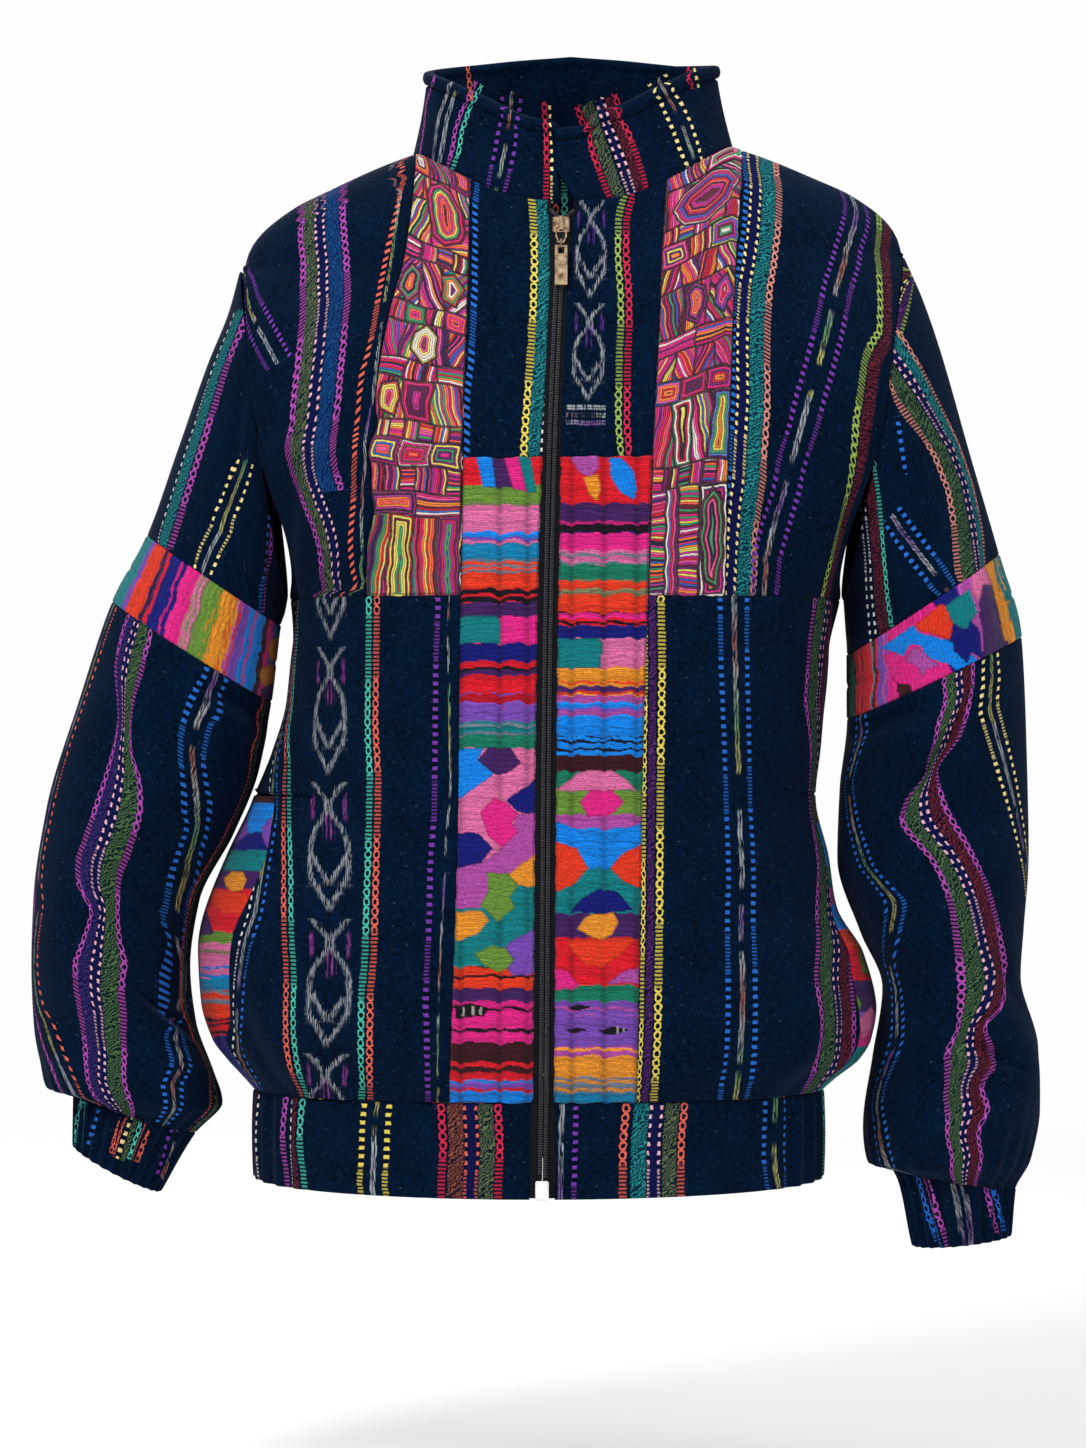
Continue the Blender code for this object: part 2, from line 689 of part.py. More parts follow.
def make_sleeve(side_name, stations, creases):
    """The four pieces of one sleeve, each a tube between two places along it."""
    for part, (start, end, columns, rows) in SLEEVE_PARTS.items():
        low = start + sleeve_seam_step(stations, start)
        high = end - sleeve_seam_step(stations, end)
        crowding = 1.35 if part == "lower_sleeve" else 1.0
        thickness = QUILTED_CLOTH if part in ("sleeve_band", "cuff") else CLOTH
        colour = BROCADE_RED if part == "sleeve_band" else NAVY

        def place(across, down, depth, low=low, high=high, crowding=crowding):
            along = mix(low, high, 1 - (1 - down) ** crowding)
            turn = across * 360.0
            normal = sleeve_normal(stations, creases, along, turn)
            return (sleeve_point(stations, creases, along, turn) - normal * depth) * MM

        cloth_wall(f"{part}_{side_name}", columns, rows, place, thickness, colour, tube=True)


def collar_base(turn):
    """The neck seam under the collar, on the body's surface at this turn."""
    behind = abs(turn) > 90
    direction = sin(radians(turn))
    low, high = 0.0, 140.0
    for _ in range(40):
        reach = (low + high) / 2
        distance = min(abs(reach * direction), NECK_SIDE)
        ahead = abs(reach * cos(radians(turn)))
        height = top_height(distance, behind)
        centre, half, depth, power = ring(height, behind)
        inside = distance < NECK_SIDE and (distance / half) ** power + (ahead / depth) ** power < 1
        low, high = (reach, high) if inside else (low, reach)
    lean = SHOULDER_LEAN * reach * direction
    return Vector((reach * direction, -reach * cos(radians(turn)), height + lean + 0.5))


def collar_rim(turn):
    side = sin(radians(turn))
    ahead = cos(radians(turn))
    depth = COLLAR_DEPTH_FRONT if ahead > 0 else COLLAR_DEPTH_BACK
    reach = (abs(side / COLLAR_HALF_WIDTH) ** 2 + abs(ahead / depth) ** 2) ** -0.5
    height = read_table(COLLAR_RIM_HEIGHT, abs((turn + 180) % 360 - 180))[0]
    return Vector((-1 + reach * side, -2 - reach * ahead, height))


def collar_surface(turn, share):
    base = collar_base(turn)
    rim = collar_rim(turn)
    point = base.lerp(rim, share)
    outwards = Vector((point.x, point.y, 0)).normalized()
    return point - outwards * 1.0 * sin(pi * share), outwards


def make_collar():
    """Stand-up collar in one piece from front edge to front edge, its rim rolled outwards."""
    columns = 40
    profile = len(COLLAR_PROFILE)
    sheet = bmesh.new()
    loops = []
    for column in range(columns + 1):
        turn = mix(5.0, 355.0, column / columns)
        turn = turn if turn <= 180 else turn - 360
        loop = []
        for share, depth in COLLAR_PROFILE:
            point, outwards = collar_surface(turn, share)
            point -= outwards * depth
            if column in (0, columns):
                edges = read_table(COLLAR_FRONT_EDGES, share)
                point.x = edges[1] if column == 0 else edges[0]
            loop.append(sheet.verts.new(point * MM))
        loops.append(loop)
    for near, far in zip(loops, loops[1:]):
        for index in range(profile):
            after = (index + 1) % profile
            sheet.faces.new((near[index], far[index], far[after], near[after]))
    sheet.faces.new(loops[0])
    sheet.faces.new(loops[-1])
    bmesh.ops.triangulate(sheet, faces=sheet.faces)
    bmesh.ops.recalc_face_normals(sheet, faces=sheet.faces)
    mesh = bpy.data.meshes.new("collar")
    sheet.to_mesh(mesh)
    sheet.free()
    obj = bpy.data.objects.new("collar", mesh)
    jacket.objects.link(obj)
    return finish_object(obj, NAVY)


def make_zip_tape(name, side):
    """Half of the zip: a woven tape with its half of the coil standing along its inner edge."""
    top = -41.5
    foot = -658.0
    shares = (0.0, 0.42, 0.5, 1.0)
    columns = len(shares) - 1

    def place(across, down, depth):
        step = round(across * columns)
        share = shares[step if side > 0 else columns - step]
        height = mix(top, foot, down**1.5)
        parting = read_table(ZIP_PARTING, height)[0]
        centre = read_table(ZIP_LINE, height)[0]
        edge = ZIP_HALF_WIDTH + 0.35 * (parting - 0.15) - 0.3
        x = centre + side * mix(parting, edge, share)
        surface_height = max(height, WAIST_SEAM + 0.5)
        turn = turn_at(x, surface_height)
        point = body_point(turn, surface_height)
        point.z = height
        normal = body_normal(turn, max(height, WAIST_SEAM + 6.0))
        rise = ZIP_BEAD_HEIGHT if share <= shares[1] else -ZIP_TAPE_DROP
        return (point + normal * (-ZIP_TAPE_BACK if depth else rise)) * MM

    return cloth_wall(name, columns, 22, place, 1.0, TAPE_BLACK)


def pull_frame():
    """Local frame of the slider: X across, Y into the cloth, Z up along the cloth."""
    return Matrix.Translation(Vector(LINK_PIVOT) * MM) @ Matrix.Rotation(-radians(CLOTH_LEAN), 4, "X")


def link_outline():
    """Centre line of the wire link: a bar at its top, two sides, drawn in to a short bar below."""
    half = LINK_WIDTH / 2 - PULL_WIRE
    return [(-half, 0), (half, 0), (half, -6.5), (1.3, -LINK_LENGTH), (-1.3, -LINK_LENGTH), (-half, -6.5)]


def wire_loop(name, points, radius, closed=True):
    """A closed wire through points of the slider's frame, as a mesh."""
    curve = bpy.data.curves.new(name, "CURVE")
    curve.dimensions = "3D"
    spline = curve.splines.new("POLY")
    spline.points.add(len(points) - 1)
    for point, place in zip(spline.points, points):
        point.co = (*(value * MM for value in place), 1)
    spline.use_cyclic_u = closed
    curve.bevel_depth = radius * MM
    curve.bevel_resolution = 1
    curve.use_fill_caps = not closed
    guide = bpy.data.objects.new(name, curve)
    bpy.context.scene.collection.objects.link(guide)
    bpy.context.view_layer.update()
    mesh = bpy.data.meshes.new_from_object(guide.evaluated_get(bpy.context.evaluated_depsgraph_get()))
    bpy.data.objects.remove(guide)
    wire = bpy.data.objects.new(name, mesh)
    return wire


def box_mesh(name, low, high, bevel):
    """A box between two corners in millimetres, its edges rounded."""
    shape = bmesh.new()
    bmesh.ops.create_cube(shape, size=1.0)
    for vert in shape.verts:
        for axis in range(3):
            vert.co[axis] = mix(low[axis], high[axis], vert.co[axis] + 0.5) * MM
    if bevel:
        bmesh.ops.bevel(shape, geom=shape.edges[:], offset=bevel * MM, segments=1, affect="EDGES")
    mesh = bpy.data.meshes.new(name)
    shape.to_mesh(mesh)
    shape.free()
    return bpy.data.objects.new(name, mesh)


def combine(target, tool, operation):
    cutters.objects.link(tool)
    tool.hide_render = True
    tool.display_type = "WIRE"
    modifier = target.modifiers.new(operation.lower(), "BOOLEAN")
    modifier.operation = operation
    modifier.solver = "EXACT"
    modifier.object = tool


def make_slider():
    """Slider body over the coil, with the strap that the pull's link hangs from."""
    slider = box_mesh("zip_slider", (-5.2, 1.1, -3.0), (5.2, 2.9, 7.5), 0.7)
    strap = box_mesh("slider_strap", (-1.5, -1.9, -2.6), (1.5, 2.0, 6.6), 0.5)
    eye = box_mesh("slider_eye", (-3.0, -0.95, -1.1), (3.0, 1.05, 2.2), 0)
    jacket.objects.link(slider)
    combine(slider, strap, "UNION")
    combine(slider, eye, "DIFFERENCE")
    for obj in (slider, strap, eye):
        obj.matrix_world = pull_frame()
    finish_object(slider, AGED_BRASS, 0.35, 1.0)


def make_link():
    link = wire_loop("pull_link", [(x, 0, z) for x, z in link_outline()], PULL_WIRE)
    jacket.objects.link(link)
    link.matrix_world = pull_frame()
    finish_object(link, AGED_BRASS, 0.35, 1.0)


def make_tab():
    """Flat tab with a square hole near its top, hung on the link by a small eye."""
    tab_top = -2.0
    tab = box_mesh(
        "pull_tab",
        (-TAB_WIDTH / 2, -TAB_THICKNESS / 2, tab_top - TAB_LENGTH),
        (TAB_WIDTH / 2, TAB_THICKNESS / 2, tab_top),
        0.3,
    )
    hole = box_mesh("tab_hole", (-1.95, -2, tab_top - 6.0), (1.95, 2, tab_top - 1.6), 0)
    sides = 10
    radius = 1.75
    turns = [2 * pi * step / sides for step in range(sides)]
    eye = wire_loop("tab_eye", [(0, radius * sin(turn), radius * cos(turn)) for turn in turns], PULL_WIRE)
    jacket.objects.link(tab)
    combine(tab, eye, "UNION")
    combine(tab, hole, "DIFFERENCE")
    hinge = pull_frame() @ Matrix.Translation((0, 0, -LINK_LENGTH * MM))
    for obj in (tab, hole, eye):
        obj.matrix_world = hinge
    finish_object(tab, AGED_BRASS, 0.35, 1.0)


def make_zip_box():
    """Moulded stop at the foot of the zip, over the end of the coil."""
    centre = read_table(ZIP_LINE, HEM_FRONT)[0]
    front = body_point(turn_at(centre, WAIST_SEAM + 0.5), WAIST_SEAM + 0.5).y
    low = (centre - 4.1, front - 4.3, HEM_FRONT)
    high = (centre + 4.1, front - 1.1, HEM_FRONT + 11.9)
    box = box_mesh("zip_box", low, high, 0.8)
    jacket.objects.link(box)
    finish_object(box, BOX_WHITE, 0.35)


clear_scene()
jacket = make_collection("cotton_jacket")
cutters = make_collection("cutters")
make_collar()
make_fronts()
make_lower_front("lower_front_right", -1, 0)
make_lower_front("lower_front_left", 1, 1)
make_pocket_facing("pocket_facing_right", -1, 0)
make_pocket_facing("pocket_facing_left", 1, 1)
make_back()
make_waistband()
make_sleeve("right", RIGHT_SLEEVE, RIGHT_SLEEVE_CREASES)
make_sleeve("left", LEFT_SLEEVE, LEFT_SLEEVE_CREASES)
make_zip_tape("zip_tape_right", -1)
make_zip_tape("zip_tape_left", 1)
make_slider()
make_link()
make_tab()
make_zip_box()
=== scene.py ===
"""Looks of the zipped cotton jacket: navy ikat cloth, brocade strips, embroidered panels and zip."""

from math import cos, pi, radians, sin

import bpy
import numpy as np
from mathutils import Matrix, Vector


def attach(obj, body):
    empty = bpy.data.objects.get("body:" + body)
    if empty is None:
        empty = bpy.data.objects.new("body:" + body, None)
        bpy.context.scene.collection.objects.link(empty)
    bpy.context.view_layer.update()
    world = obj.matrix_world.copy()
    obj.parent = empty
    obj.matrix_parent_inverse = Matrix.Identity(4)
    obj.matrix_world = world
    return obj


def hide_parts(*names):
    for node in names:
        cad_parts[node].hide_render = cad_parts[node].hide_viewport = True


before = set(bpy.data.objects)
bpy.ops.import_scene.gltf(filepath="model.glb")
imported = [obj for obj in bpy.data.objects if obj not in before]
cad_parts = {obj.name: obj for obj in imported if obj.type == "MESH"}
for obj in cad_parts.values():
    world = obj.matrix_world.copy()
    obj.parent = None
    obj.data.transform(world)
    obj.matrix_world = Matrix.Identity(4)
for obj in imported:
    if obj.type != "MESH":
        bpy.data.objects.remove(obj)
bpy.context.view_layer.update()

# The view: a level camera three metres in front of the neck, a little to the wearer's right and at
# chest height, so that one picture line is 0.64 mm in the plane of the neck.
CAMERA_X = -19.2
CAMERA_Y = -3000.0
CAMERA_Z = -367.0
LINE_SIZE = 0.64
PICTURE_MIDDLE = (543, 724)
camera_data = bpy.data.cameras.new("camera")
camera_data.sensor_width = 36.0
camera_data.lens = 116.54
camera_data.clip_end = 50.0
camera = bpy.data.objects.new("camera", camera_data)
camera.location = (CAMERA_X / 1000, CAMERA_Y / 1000, CAMERA_Z / 1000)
camera.rotation_euler = (radians(90), 0, 0)
bpy.context.scene.collection.objects.link(camera)
bpy.context.scene.camera = camera
bpy.context.scene.view_settings.view_transform = "Standard"

# The studio: a plain pale floor well below the hem that fades into a white surround, two large soft
# lights in front and above, and weaker ones behind, so that every side can be looked at.
FLOOR_Z = -0.86
FLOOR_REACH = 3.2
world = bpy.data.worlds.new("studio")
world.use_nodes = True
bpy.context.scene.world = world
surround = world.node_tree
lit = surround.nodes["Background"]
lit.inputs["Color"].default_value = (1.0, 1.0, 1.0, 1)
lit.inputs["Strength"].default_value = 0.4
seen = surround.nodes.new("ShaderNodeBackground")
seen.inputs["Color"].default_value = (1.0, 1.0, 1.0, 1)
seen.inputs["Strength"].default_value = 0.99
chooser = surround.nodes.new("ShaderNodeMixShader")
surround.links.new(surround.nodes.new("ShaderNodeLightPath").outputs["Is Camera Ray"], chooser.inputs[0])
surround.links.new(lit.outputs[0], chooser.inputs[1])
surround.links.new(seen.outputs[0], chooser.inputs[2])
surround.links.new(chooser.outputs[0], surround.nodes["World Output"].inputs["Surface"])
for name, place, size, power in (
    ("key_light", (-1.5, -2.2, 1.7), 1.2, 78.0),
    ("fill_light", (1.9, -2.0, 0.4), 1.8, 26.0),
    ("top_light", (0.2, 0.1, 2.2), 1.4, 26.0),
    ("back_light", (-0.6, 2.6, 1.0), 1.6, 34.0),
):
    lamp = bpy.data.lights.new(name, "AREA")
    lamp.shape = "DISK"
    lamp.size = size
    lamp.energy = power
    light = bpy.data.objects.new(name, lamp)
    light.location = place
    light.rotation_euler = (Vector((0, 0, -0.35)) - Vector(place)).to_track_quat("-Z", "Y").to_euler()
    bpy.context.scene.collection.objects.link(light)
floor_mesh = bpy.data.meshes.new("studio_floor")
floor_turns = np.linspace(0, 2 * pi, 64, endpoint=False)
floor_points = [(FLOOR_REACH * np.cos(turn), FLOOR_REACH * np.sin(turn), FLOOR_Z) for turn in floor_turns]
floor_mesh.from_pydata(floor_points, [], [range(64)])
floor = bpy.data.objects.new("studio_floor", floor_mesh)
bpy.context.scene.collection.objects.link(floor)
floor_material = bpy.data.materials.new("pale_floor")
floor_material.use_nodes = True
floor_tree = floor_material.node_tree
floor_shader = floor_tree.nodes["Principled BSDF"]
floor_shader.inputs["Base Color"].default_value = (0.93, 0.93, 0.93, 1)
floor_shader.inputs["Roughness"].default_value = 0.8
place_in_room = floor_tree.nodes.new("ShaderNodeTexCoord")
spread = floor_tree.nodes.new("ShaderNodeVectorMath")
spread.operation = "LENGTH"
fade = floor_tree.nodes.new("ShaderNodeMapRange")
for label, value in (("From Min", 1.0), ("From Max", 3.0), ("To Min", 1.0), ("To Max", 0.0)):
    fade.inputs[label].default_value = value
floor_tree.links.new(place_in_room.outputs["Object"], spread.inputs[0])
floor_tree.links.new(spread.outputs["Value"], fade.inputs["Value"])
floor_tree.links.new(fade.outputs["Result"], floor_shader.inputs["Alpha"])
floor_mesh.materials.append(floor_material)

# The cloth's form. The body of the jacket hangs as horizontal rings, wider than deep, and blouses out
# over the waistband. A ring is cut off at each armhole, where the sleeve is sewn on. The sizes are in
# millimetres: height, centre x, half width, depth in front, depth behind, squareness.
WAIST_SEAM = -600.0
HEM_FRONT = -659.0
HEM_SIDE = -651.0
YOKE_SEAM = -288.0
BROCADE_TOP = -203.0
POCKET_TOP = -412.0
ARMHOLE_TOP = -73.0
ARMHOLE_FOOT = -286.0
SHOULDER_LEAN = 0.022
BODY_RINGS = [
    (25, 0, 4, 50, 60, 2.0),
    (14, 0, 60, 58, 69, 2.0),
    (1, 0, 95, 66, 76, 2.0),
    (-9.5, 0, 125, 70, 82, 2.0),
    (-22.5, 0, 155, 75, 88, 2.0),
    (-34, 0, 179, 80, 92, 2.0),
    (-51.5, 0, 201, 86, 97, 2.05),
    (-62, 0, 207.5, 90, 100, 2.1),
    (-73, 0, 210, 94, 103, 2.1),
    (-120, -2, 205, 109, 112, 2.15),
    (-200, -4, 190, 126, 119, 2.2),
    (-286, -5, 176, 134, 118, 2.25),
    (-320, -8, 172, 137, 117, 2.3),
    (-352, -11, 172, 139, 116, 2.3),
    (-384, -17, 175, 141, 115, 2.3),
    (-416, -25, 180, 142, 116, 2.3),
    (-450, -29, 192, 144, 120, 2.3),
    (-485, -33, 202, 146, 125, 2.3),
    (-513, -27, 212.5, 147, 128, 2.3),
    (-544, -22, 215.5, 146, 129, 2.3),
    (-567, -20, 210.5, 142, 126, 2.3),
    (-580, -19, 202, 138, 122, 2.3),
    (-592, -21, 189, 131, 117, 2.3),
    (-600, -22, 181, 125, 112, 2.3),
]

# Where the neck seam runs: distance from the middle, and height in front and behind.
NECK_FRONT = [(0, -40), (20, -39.3), (40, -35.5), (60, -26.8), (82, -14), (95, -5.6), (102, -1.6)]
NECK_BACK = [(0, 12), (40, 10.8), (60, 8.8), (82, 4.4), (95, 0.6), (102, -1.6)]
NECK_SIDE = 102.0

# Soft creases of the body: turn in degrees, height, half length, half width, depth, slant in degrees.
# The first ones are the big folds; the rest are small drags beside seams, pockets and armholes.
BODY_CREASES = [
    (-59, -205, 70, 16, 7.0, 14),
    (-72, -255, 42, 12, -6.0, -38),
    (63, -200, 80, 15, 6.0, -10),
    (74, -262, 40, 12, -5.0, 34),
    (-46, -150, 60, 20, 3.5, 10),
    (-30, -470, 120, 16, 2.5, 0),
    (34, -455, 120, 16, 2.5, 3),
    (-58, -560, 46, 9, 4.5, 6),
    (-71, -556, 40, 8, -4.0, -4),
    (58, -562, 44, 9, 4.5, -5),
    (70, -560, 36, 8, -4.0, 4),
    (-145, -170, 90, 18, 5.0, 16),
    (145, -170, 90, 18, 5.0, -16),
    (-130, -480, 110, 20, 5.0, 4),
    (130, -470, 110, 20, 5.0, -4),
    (-165, -500, 100, 16, 4.0, 0),
    (163, -505, 95, 16, 4.0, 0),
    (-53, -197, 9, 44, 3.5, 0),
    (-54, -181, 8, 40, -3.5, 0),
    (-47, -240, 44, 7, -3.5, 34),
    (52, -228, 46, 7, -3.5, -30),
    (57, -180, 60, 8, 3.0, -14),
    (-36, -584, 22, 6, -2.0, 3),
    (-45, -580, 30, 6, -3.0, 5),
    (-51, -576, 34, 6, 3.0, 5),
    (-65, -582, 30, 6, -3.0, 0),
    (-78, -578, 34, 6, -3.0, -4),
    (44, -582, 26, 6, -2.5, -4),
    (50, -578, 32, 6, 2.5, -5),
    (64, -580, 30, 6, -3.0, 0),
    (77, -578, 34, 6, -3.0, 4),
    (-112, -215, 70, 9, -4.0, 20),
    (112, -215, 70, 9, -4.0, -20),
    (-150, -330, 60, 10, -3.0, -20),
    (148, -340, 60, 10, -3.0, 20),
]


def read_table(table, key):
    """The columns of a table at each key, on a smooth curve through its rows that never overshoots."""
    rows = np.array(sorted(table), float)
    key = np.clip(np.asarray(key, float), rows[0, 0], rows[-1, 0])
    low = np.clip(np.searchsorted(rows[:, 0], key, side="right") - 1, 0, len(rows) - 2)
    span = np.diff(rows[:, 0])[:, None]
    secants = np.diff(rows[:, 1:], axis=0) / span
    before = np.vstack([secants[:1], secants])
    after = np.vstack([secants, secants[-1:]])
    total = np.where(before + after == 0, 1.0, before + after)
    slopes = np.where(before * after > 0, 2 * before * after / total, 0.0)
    share = ((key - rows[low, 0]) / span[low, 0])[..., None]
    rise = rows[low + 1, 1:] - rows[low, 1:]
    bend = slopes[low] * share * (1 - share) ** 2 - slopes[low + 1] * share**2 * (1 - share)
    return np.moveaxis(rows[low, 1:] + rise * share**2 * (3 - 2 * share) + bend * span[low], -1, 0)


def mix(first, second, share):
    return first + (second - first) * share


def smooth_step(share):
    share = np.clip(share, 0.0, 1.0)
    return share * share * (3 - 2 * share)


def crease_rise(along, across, half_length, half_width, depth):
    """Height of one soft crease, which fades out along its length and to each side."""
    return depth * np.exp(-((along / half_length) ** 2) - (across / half_width) ** 2)


def armhole_share(height):
    return (height - ARMHOLE_TOP) / (ARMHOLE_FOOT - ARMHOLE_TOP)


def armhole_reach(height):
    return 210.0 - 34.0 * armhole_share(np.clip(height, ARMHOLE_FOOT, ARMHOLE_TOP))


def ring(height, behind):
    """Centre x, half width, depth and squareness of the body's ring, wider beside the armholes."""
    centre, half, front, back, power = read_table(BODY_RINGS, height)
    depth = np.where(behind, back, front)
    middle = np.clip(1 - (2 * armhole_share(height) - 1) ** 2, 0, 1)
    cut = np.clip(80.0 * np.sqrt(middle) / depth, 0, 0.99)
    beside = (height > ARMHOLE_FOOT) & (height < ARMHOLE_TOP)
    half = np.where(beside, armhole_reach(height) / (1 - cut**power) ** (1 / power), half)
    return centre, half, depth, power


def body_relief(turn, height):
    rise = np.zeros(np.broadcast(turn, height).shape)
    for crease_turn, crease_height, half_length, half_width, depth, slant in BODY_CREASES:
        down = height - crease_height
        round_body = (turn - crease_turn + 180) % 360 - 180
        across = np.radians(round_body) * 150 + down * np.sin(np.radians(slant))
        rise = rise + crease_rise(down, across, half_length, half_width, depth)
    near_seam = np.maximum(0.0, 1 - (height - WAIST_SEAM) / 60)
    gathered = smooth_step((np.abs(turn) - 88) / 12)
    wave = np.cos(2 * pi * 22 * (180 - np.abs(turn)) / 174)
    return rise + gathered * near_seam**2 * 2.0 * wave


def body_points(turn, height):
    """Points of the body's outer side: turn is 0 at the centre front and positive to the left arm."""
    centre, half, depth, power = ring(height, np.abs(turn) > 90)
    side = np.sin(np.radians(turn))
    ahead = np.cos(np.radians(turn))
    reach = (np.abs(side / half) ** power + np.abs(ahead / depth) ** power) ** (-1 / power)
    reach = reach + body_relief(turn, height)
    lean = SHOULDER_LEAN * reach * side * np.clip(1 - armhole_share(height), 0, 1)
    return np.stack([centre + reach * side, -reach * ahead, height + lean], axis=-1)


def turn_at(x, height, behind=False):
    """The turn at which the body's ring has this x, on its front or its back half."""
    centre, half, depth, power = ring(height, behind)
    share = np.minimum(1.0, np.abs(x - centre) / half)
    ahead = depth * (1 - share**power) ** (1 / power)
    turn = np.degrees(np.arctan2(x - centre, ahead))
    return (180 - np.abs(turn)) * np.where(turn > 0, 1, -1) if behind else turn


shoulder_heights = np.linspace(25, ARMHOLE_TOP, 2000)
shoulder_widths = read_table(BODY_RINGS, shoulder_heights)[1]


def top_height(x, behind=False):
    """Height of the neck seam or, beyond the neck, of the shoulder seam."""
    distance = np.abs(x)
    neck = read_table(NECK_BACK if behind else NECK_FRONT, distance)[0]
    return np.where(distance < NECK_SIDE, neck, np.interp(distance, shoulder_widths, shoulder_heights))


def in_view(points):
    """Where points in millimetres stand in the view: columns and lines of a picture 1086 by 1448."""
    scale = -CAMERA_Y / (points[..., 1] - CAMERA_Y) / LINE_SIZE
    column = PICTURE_MIDDLE[0] + (points[..., 0] - CAMERA_X) * scale
    return column, PICTURE_MIDDLE[1] - (points[..., 2] - CAMERA_Z) * scale


def steps(length, spacing):
    """Shares along a piece, even but for two more beside each seam, where the cloth's edge rolls in."""
    inner = np.linspace(0, 1, max(3, round(length / spacing)) + 1)[1:-1]
    near = np.array([0, 0.35, 0.9]) / length
    return np.concatenate([near, inner, 1 - near[::-1]])


# Every cloth piece is a thin shell on its surface. The maker lays a grid of points, pushes the creases
# out along the surface, rolls the sewn edges in, and gives the shell its inner side and its weave map,
# which measures the cloth in metres along and across its threads.
CLOTH_THICKNESS = 1.3
ROLL_WIDTH = 1.3
ROLL_DEPTH = 0.9


def surface_normals(points, tube=False):
    if tube:
        wrapped = np.concatenate([points[:, -2:-1], points, points[:, 1:2]], axis=1)
        across = (wrapped[:, 2:] - wrapped[:, :-2]) / 2
    else:
        across = np.gradient(points, axis=1)
    down = np.gradient(points, axis=0)
    normals = np.cross(down, across)
    return normals / np.maximum(np.linalg.norm(normals, axis=-1, keepdims=True), 1e-9)


def lay_cloth(points, relief=0.0, tube=False, seams="top foot first last"):
    """The shell's outer grid, its inward direction, and its measure across and down, in millimetres."""
    points = points + surface_normals(points, tube) * (relief + np.zeros(points.shape[:2]))[..., None]
    across = np.linalg.norm(np.diff(points, axis=1), axis=-1)
    across = np.concatenate([np.zeros((len(points), 1)), np.cumsum(across, axis=1)], axis=1)
    down = np.linalg.norm(np.diff(points, axis=0), axis=-1)
    down = np.concatenate([np.zeros((1, points.shape[1])), np.cumsum(down, axis=0)], axis=0)
    to_seam = {"top": down, "foot": down[-1:] - down}
    if not tube:
        to_seam.update(first=across, last=across[:, -1:] - across)
    roll = np.zeros(points.shape[:2])
    for seam, distance in to_seam.items():
        if seam in seams:
            roll = np.maximum(roll, np.clip(1 - distance / ROLL_WIDTH, 0, 1))
    roll = -ROLL_DEPTH * roll**2
    points = points + surface_normals(points, tube) * roll[..., None]
    return points, surface_normals(points, tube), across, down


def sew_cloth(node, laid, material, slot_name, held, tube=False, thickness=CLOTH_THICKNESS, layers=None):
    """Makes the piece from its laid grid, with its weave map and any painted layers."""
    points, normals, across, down = laid
    rows, columns = points.shape[:2]
    kept = columns - 1 if tube else columns
    outer = points[:, :kept].reshape(-1, 3)
    inner = outer - normals[:, :kept].reshape(-1, 3) * thickness
    verts = np.concatenate([outer, inner]) if thickness else outer
    index = np.arange(rows * kept).reshape(rows, kept)
    if tube:
        index = np.concatenate([index, index[:, :1]], axis=1)
    corner = np.arange(rows * columns).reshape(rows, columns)

    def quads(grid):
        corners = [grid[:-1, :-1], grid[1:, :-1], grid[1:, 1:], grid[:-1, 1:]]
        return np.stack(corners, axis=-1).reshape(-1, 4)

    faces = quads(index)
    corners = quads(corner)
    if thickness:
        under = rows * kept
        loops = [index[0], index[-1, ::-1]]
        sides = [corner[0], corner[-1, ::-1]]
        if not tube:
            loops += [index[::-1, 0], index[:, -1]]
            sides += [corner[::-1, 0], corner[:, -1]]
        faces = [faces, faces[:, ::-1] + under]
        corners = [corners, corners[:, ::-1]]
        for loop, side in zip(loops, sides):
            faces.append(np.stack([loop[:-1], loop[1:], loop[1:] + under, loop[:-1] + under], axis=-1))
            corners.append(np.stack([side[:-1], side[1:], side[1:], side[:-1]], axis=-1))
        faces = np.concatenate(faces)
        corners = np.concatenate(corners)
    mesh = bpy.data.meshes.new(f"{node}_cloth")
    mesh.from_pydata((verts / 1000).tolist(), [], faces.tolist())
    weave = mesh.uv_layers.new(name="weave")
    flat_map = np.stack([across.ravel()[corners.ravel()], -down.ravel()[corners.ravel()]], axis=-1) / 1000
    weave.data.foreach_set("uv", flat_map.ravel())
    for layer, values in (layers or {}).items():
        spread = np.asarray(values, float).reshape(rows * columns, -1)[corners.ravel()]
        if spread.shape[1] == 3:
            full = np.concatenate([spread, np.ones((len(spread), 1))], axis=1)
            mesh.attributes.new(layer, "FLOAT_COLOR", "CORNER").data.foreach_set("color", full.ravel())
        else:
            mesh.attributes.new(layer, "FLOAT", "CORNER").data.foreach_set("value", spread.ravel())
    mesh.shade_smooth()
    mesh.materials.append(material)
    piece = bpy.data.objects.new(f"{node}_cloth", mesh)
    bpy.context.scene.collection.objects.link(piece)
    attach(piece, "jacket")
    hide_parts(node)


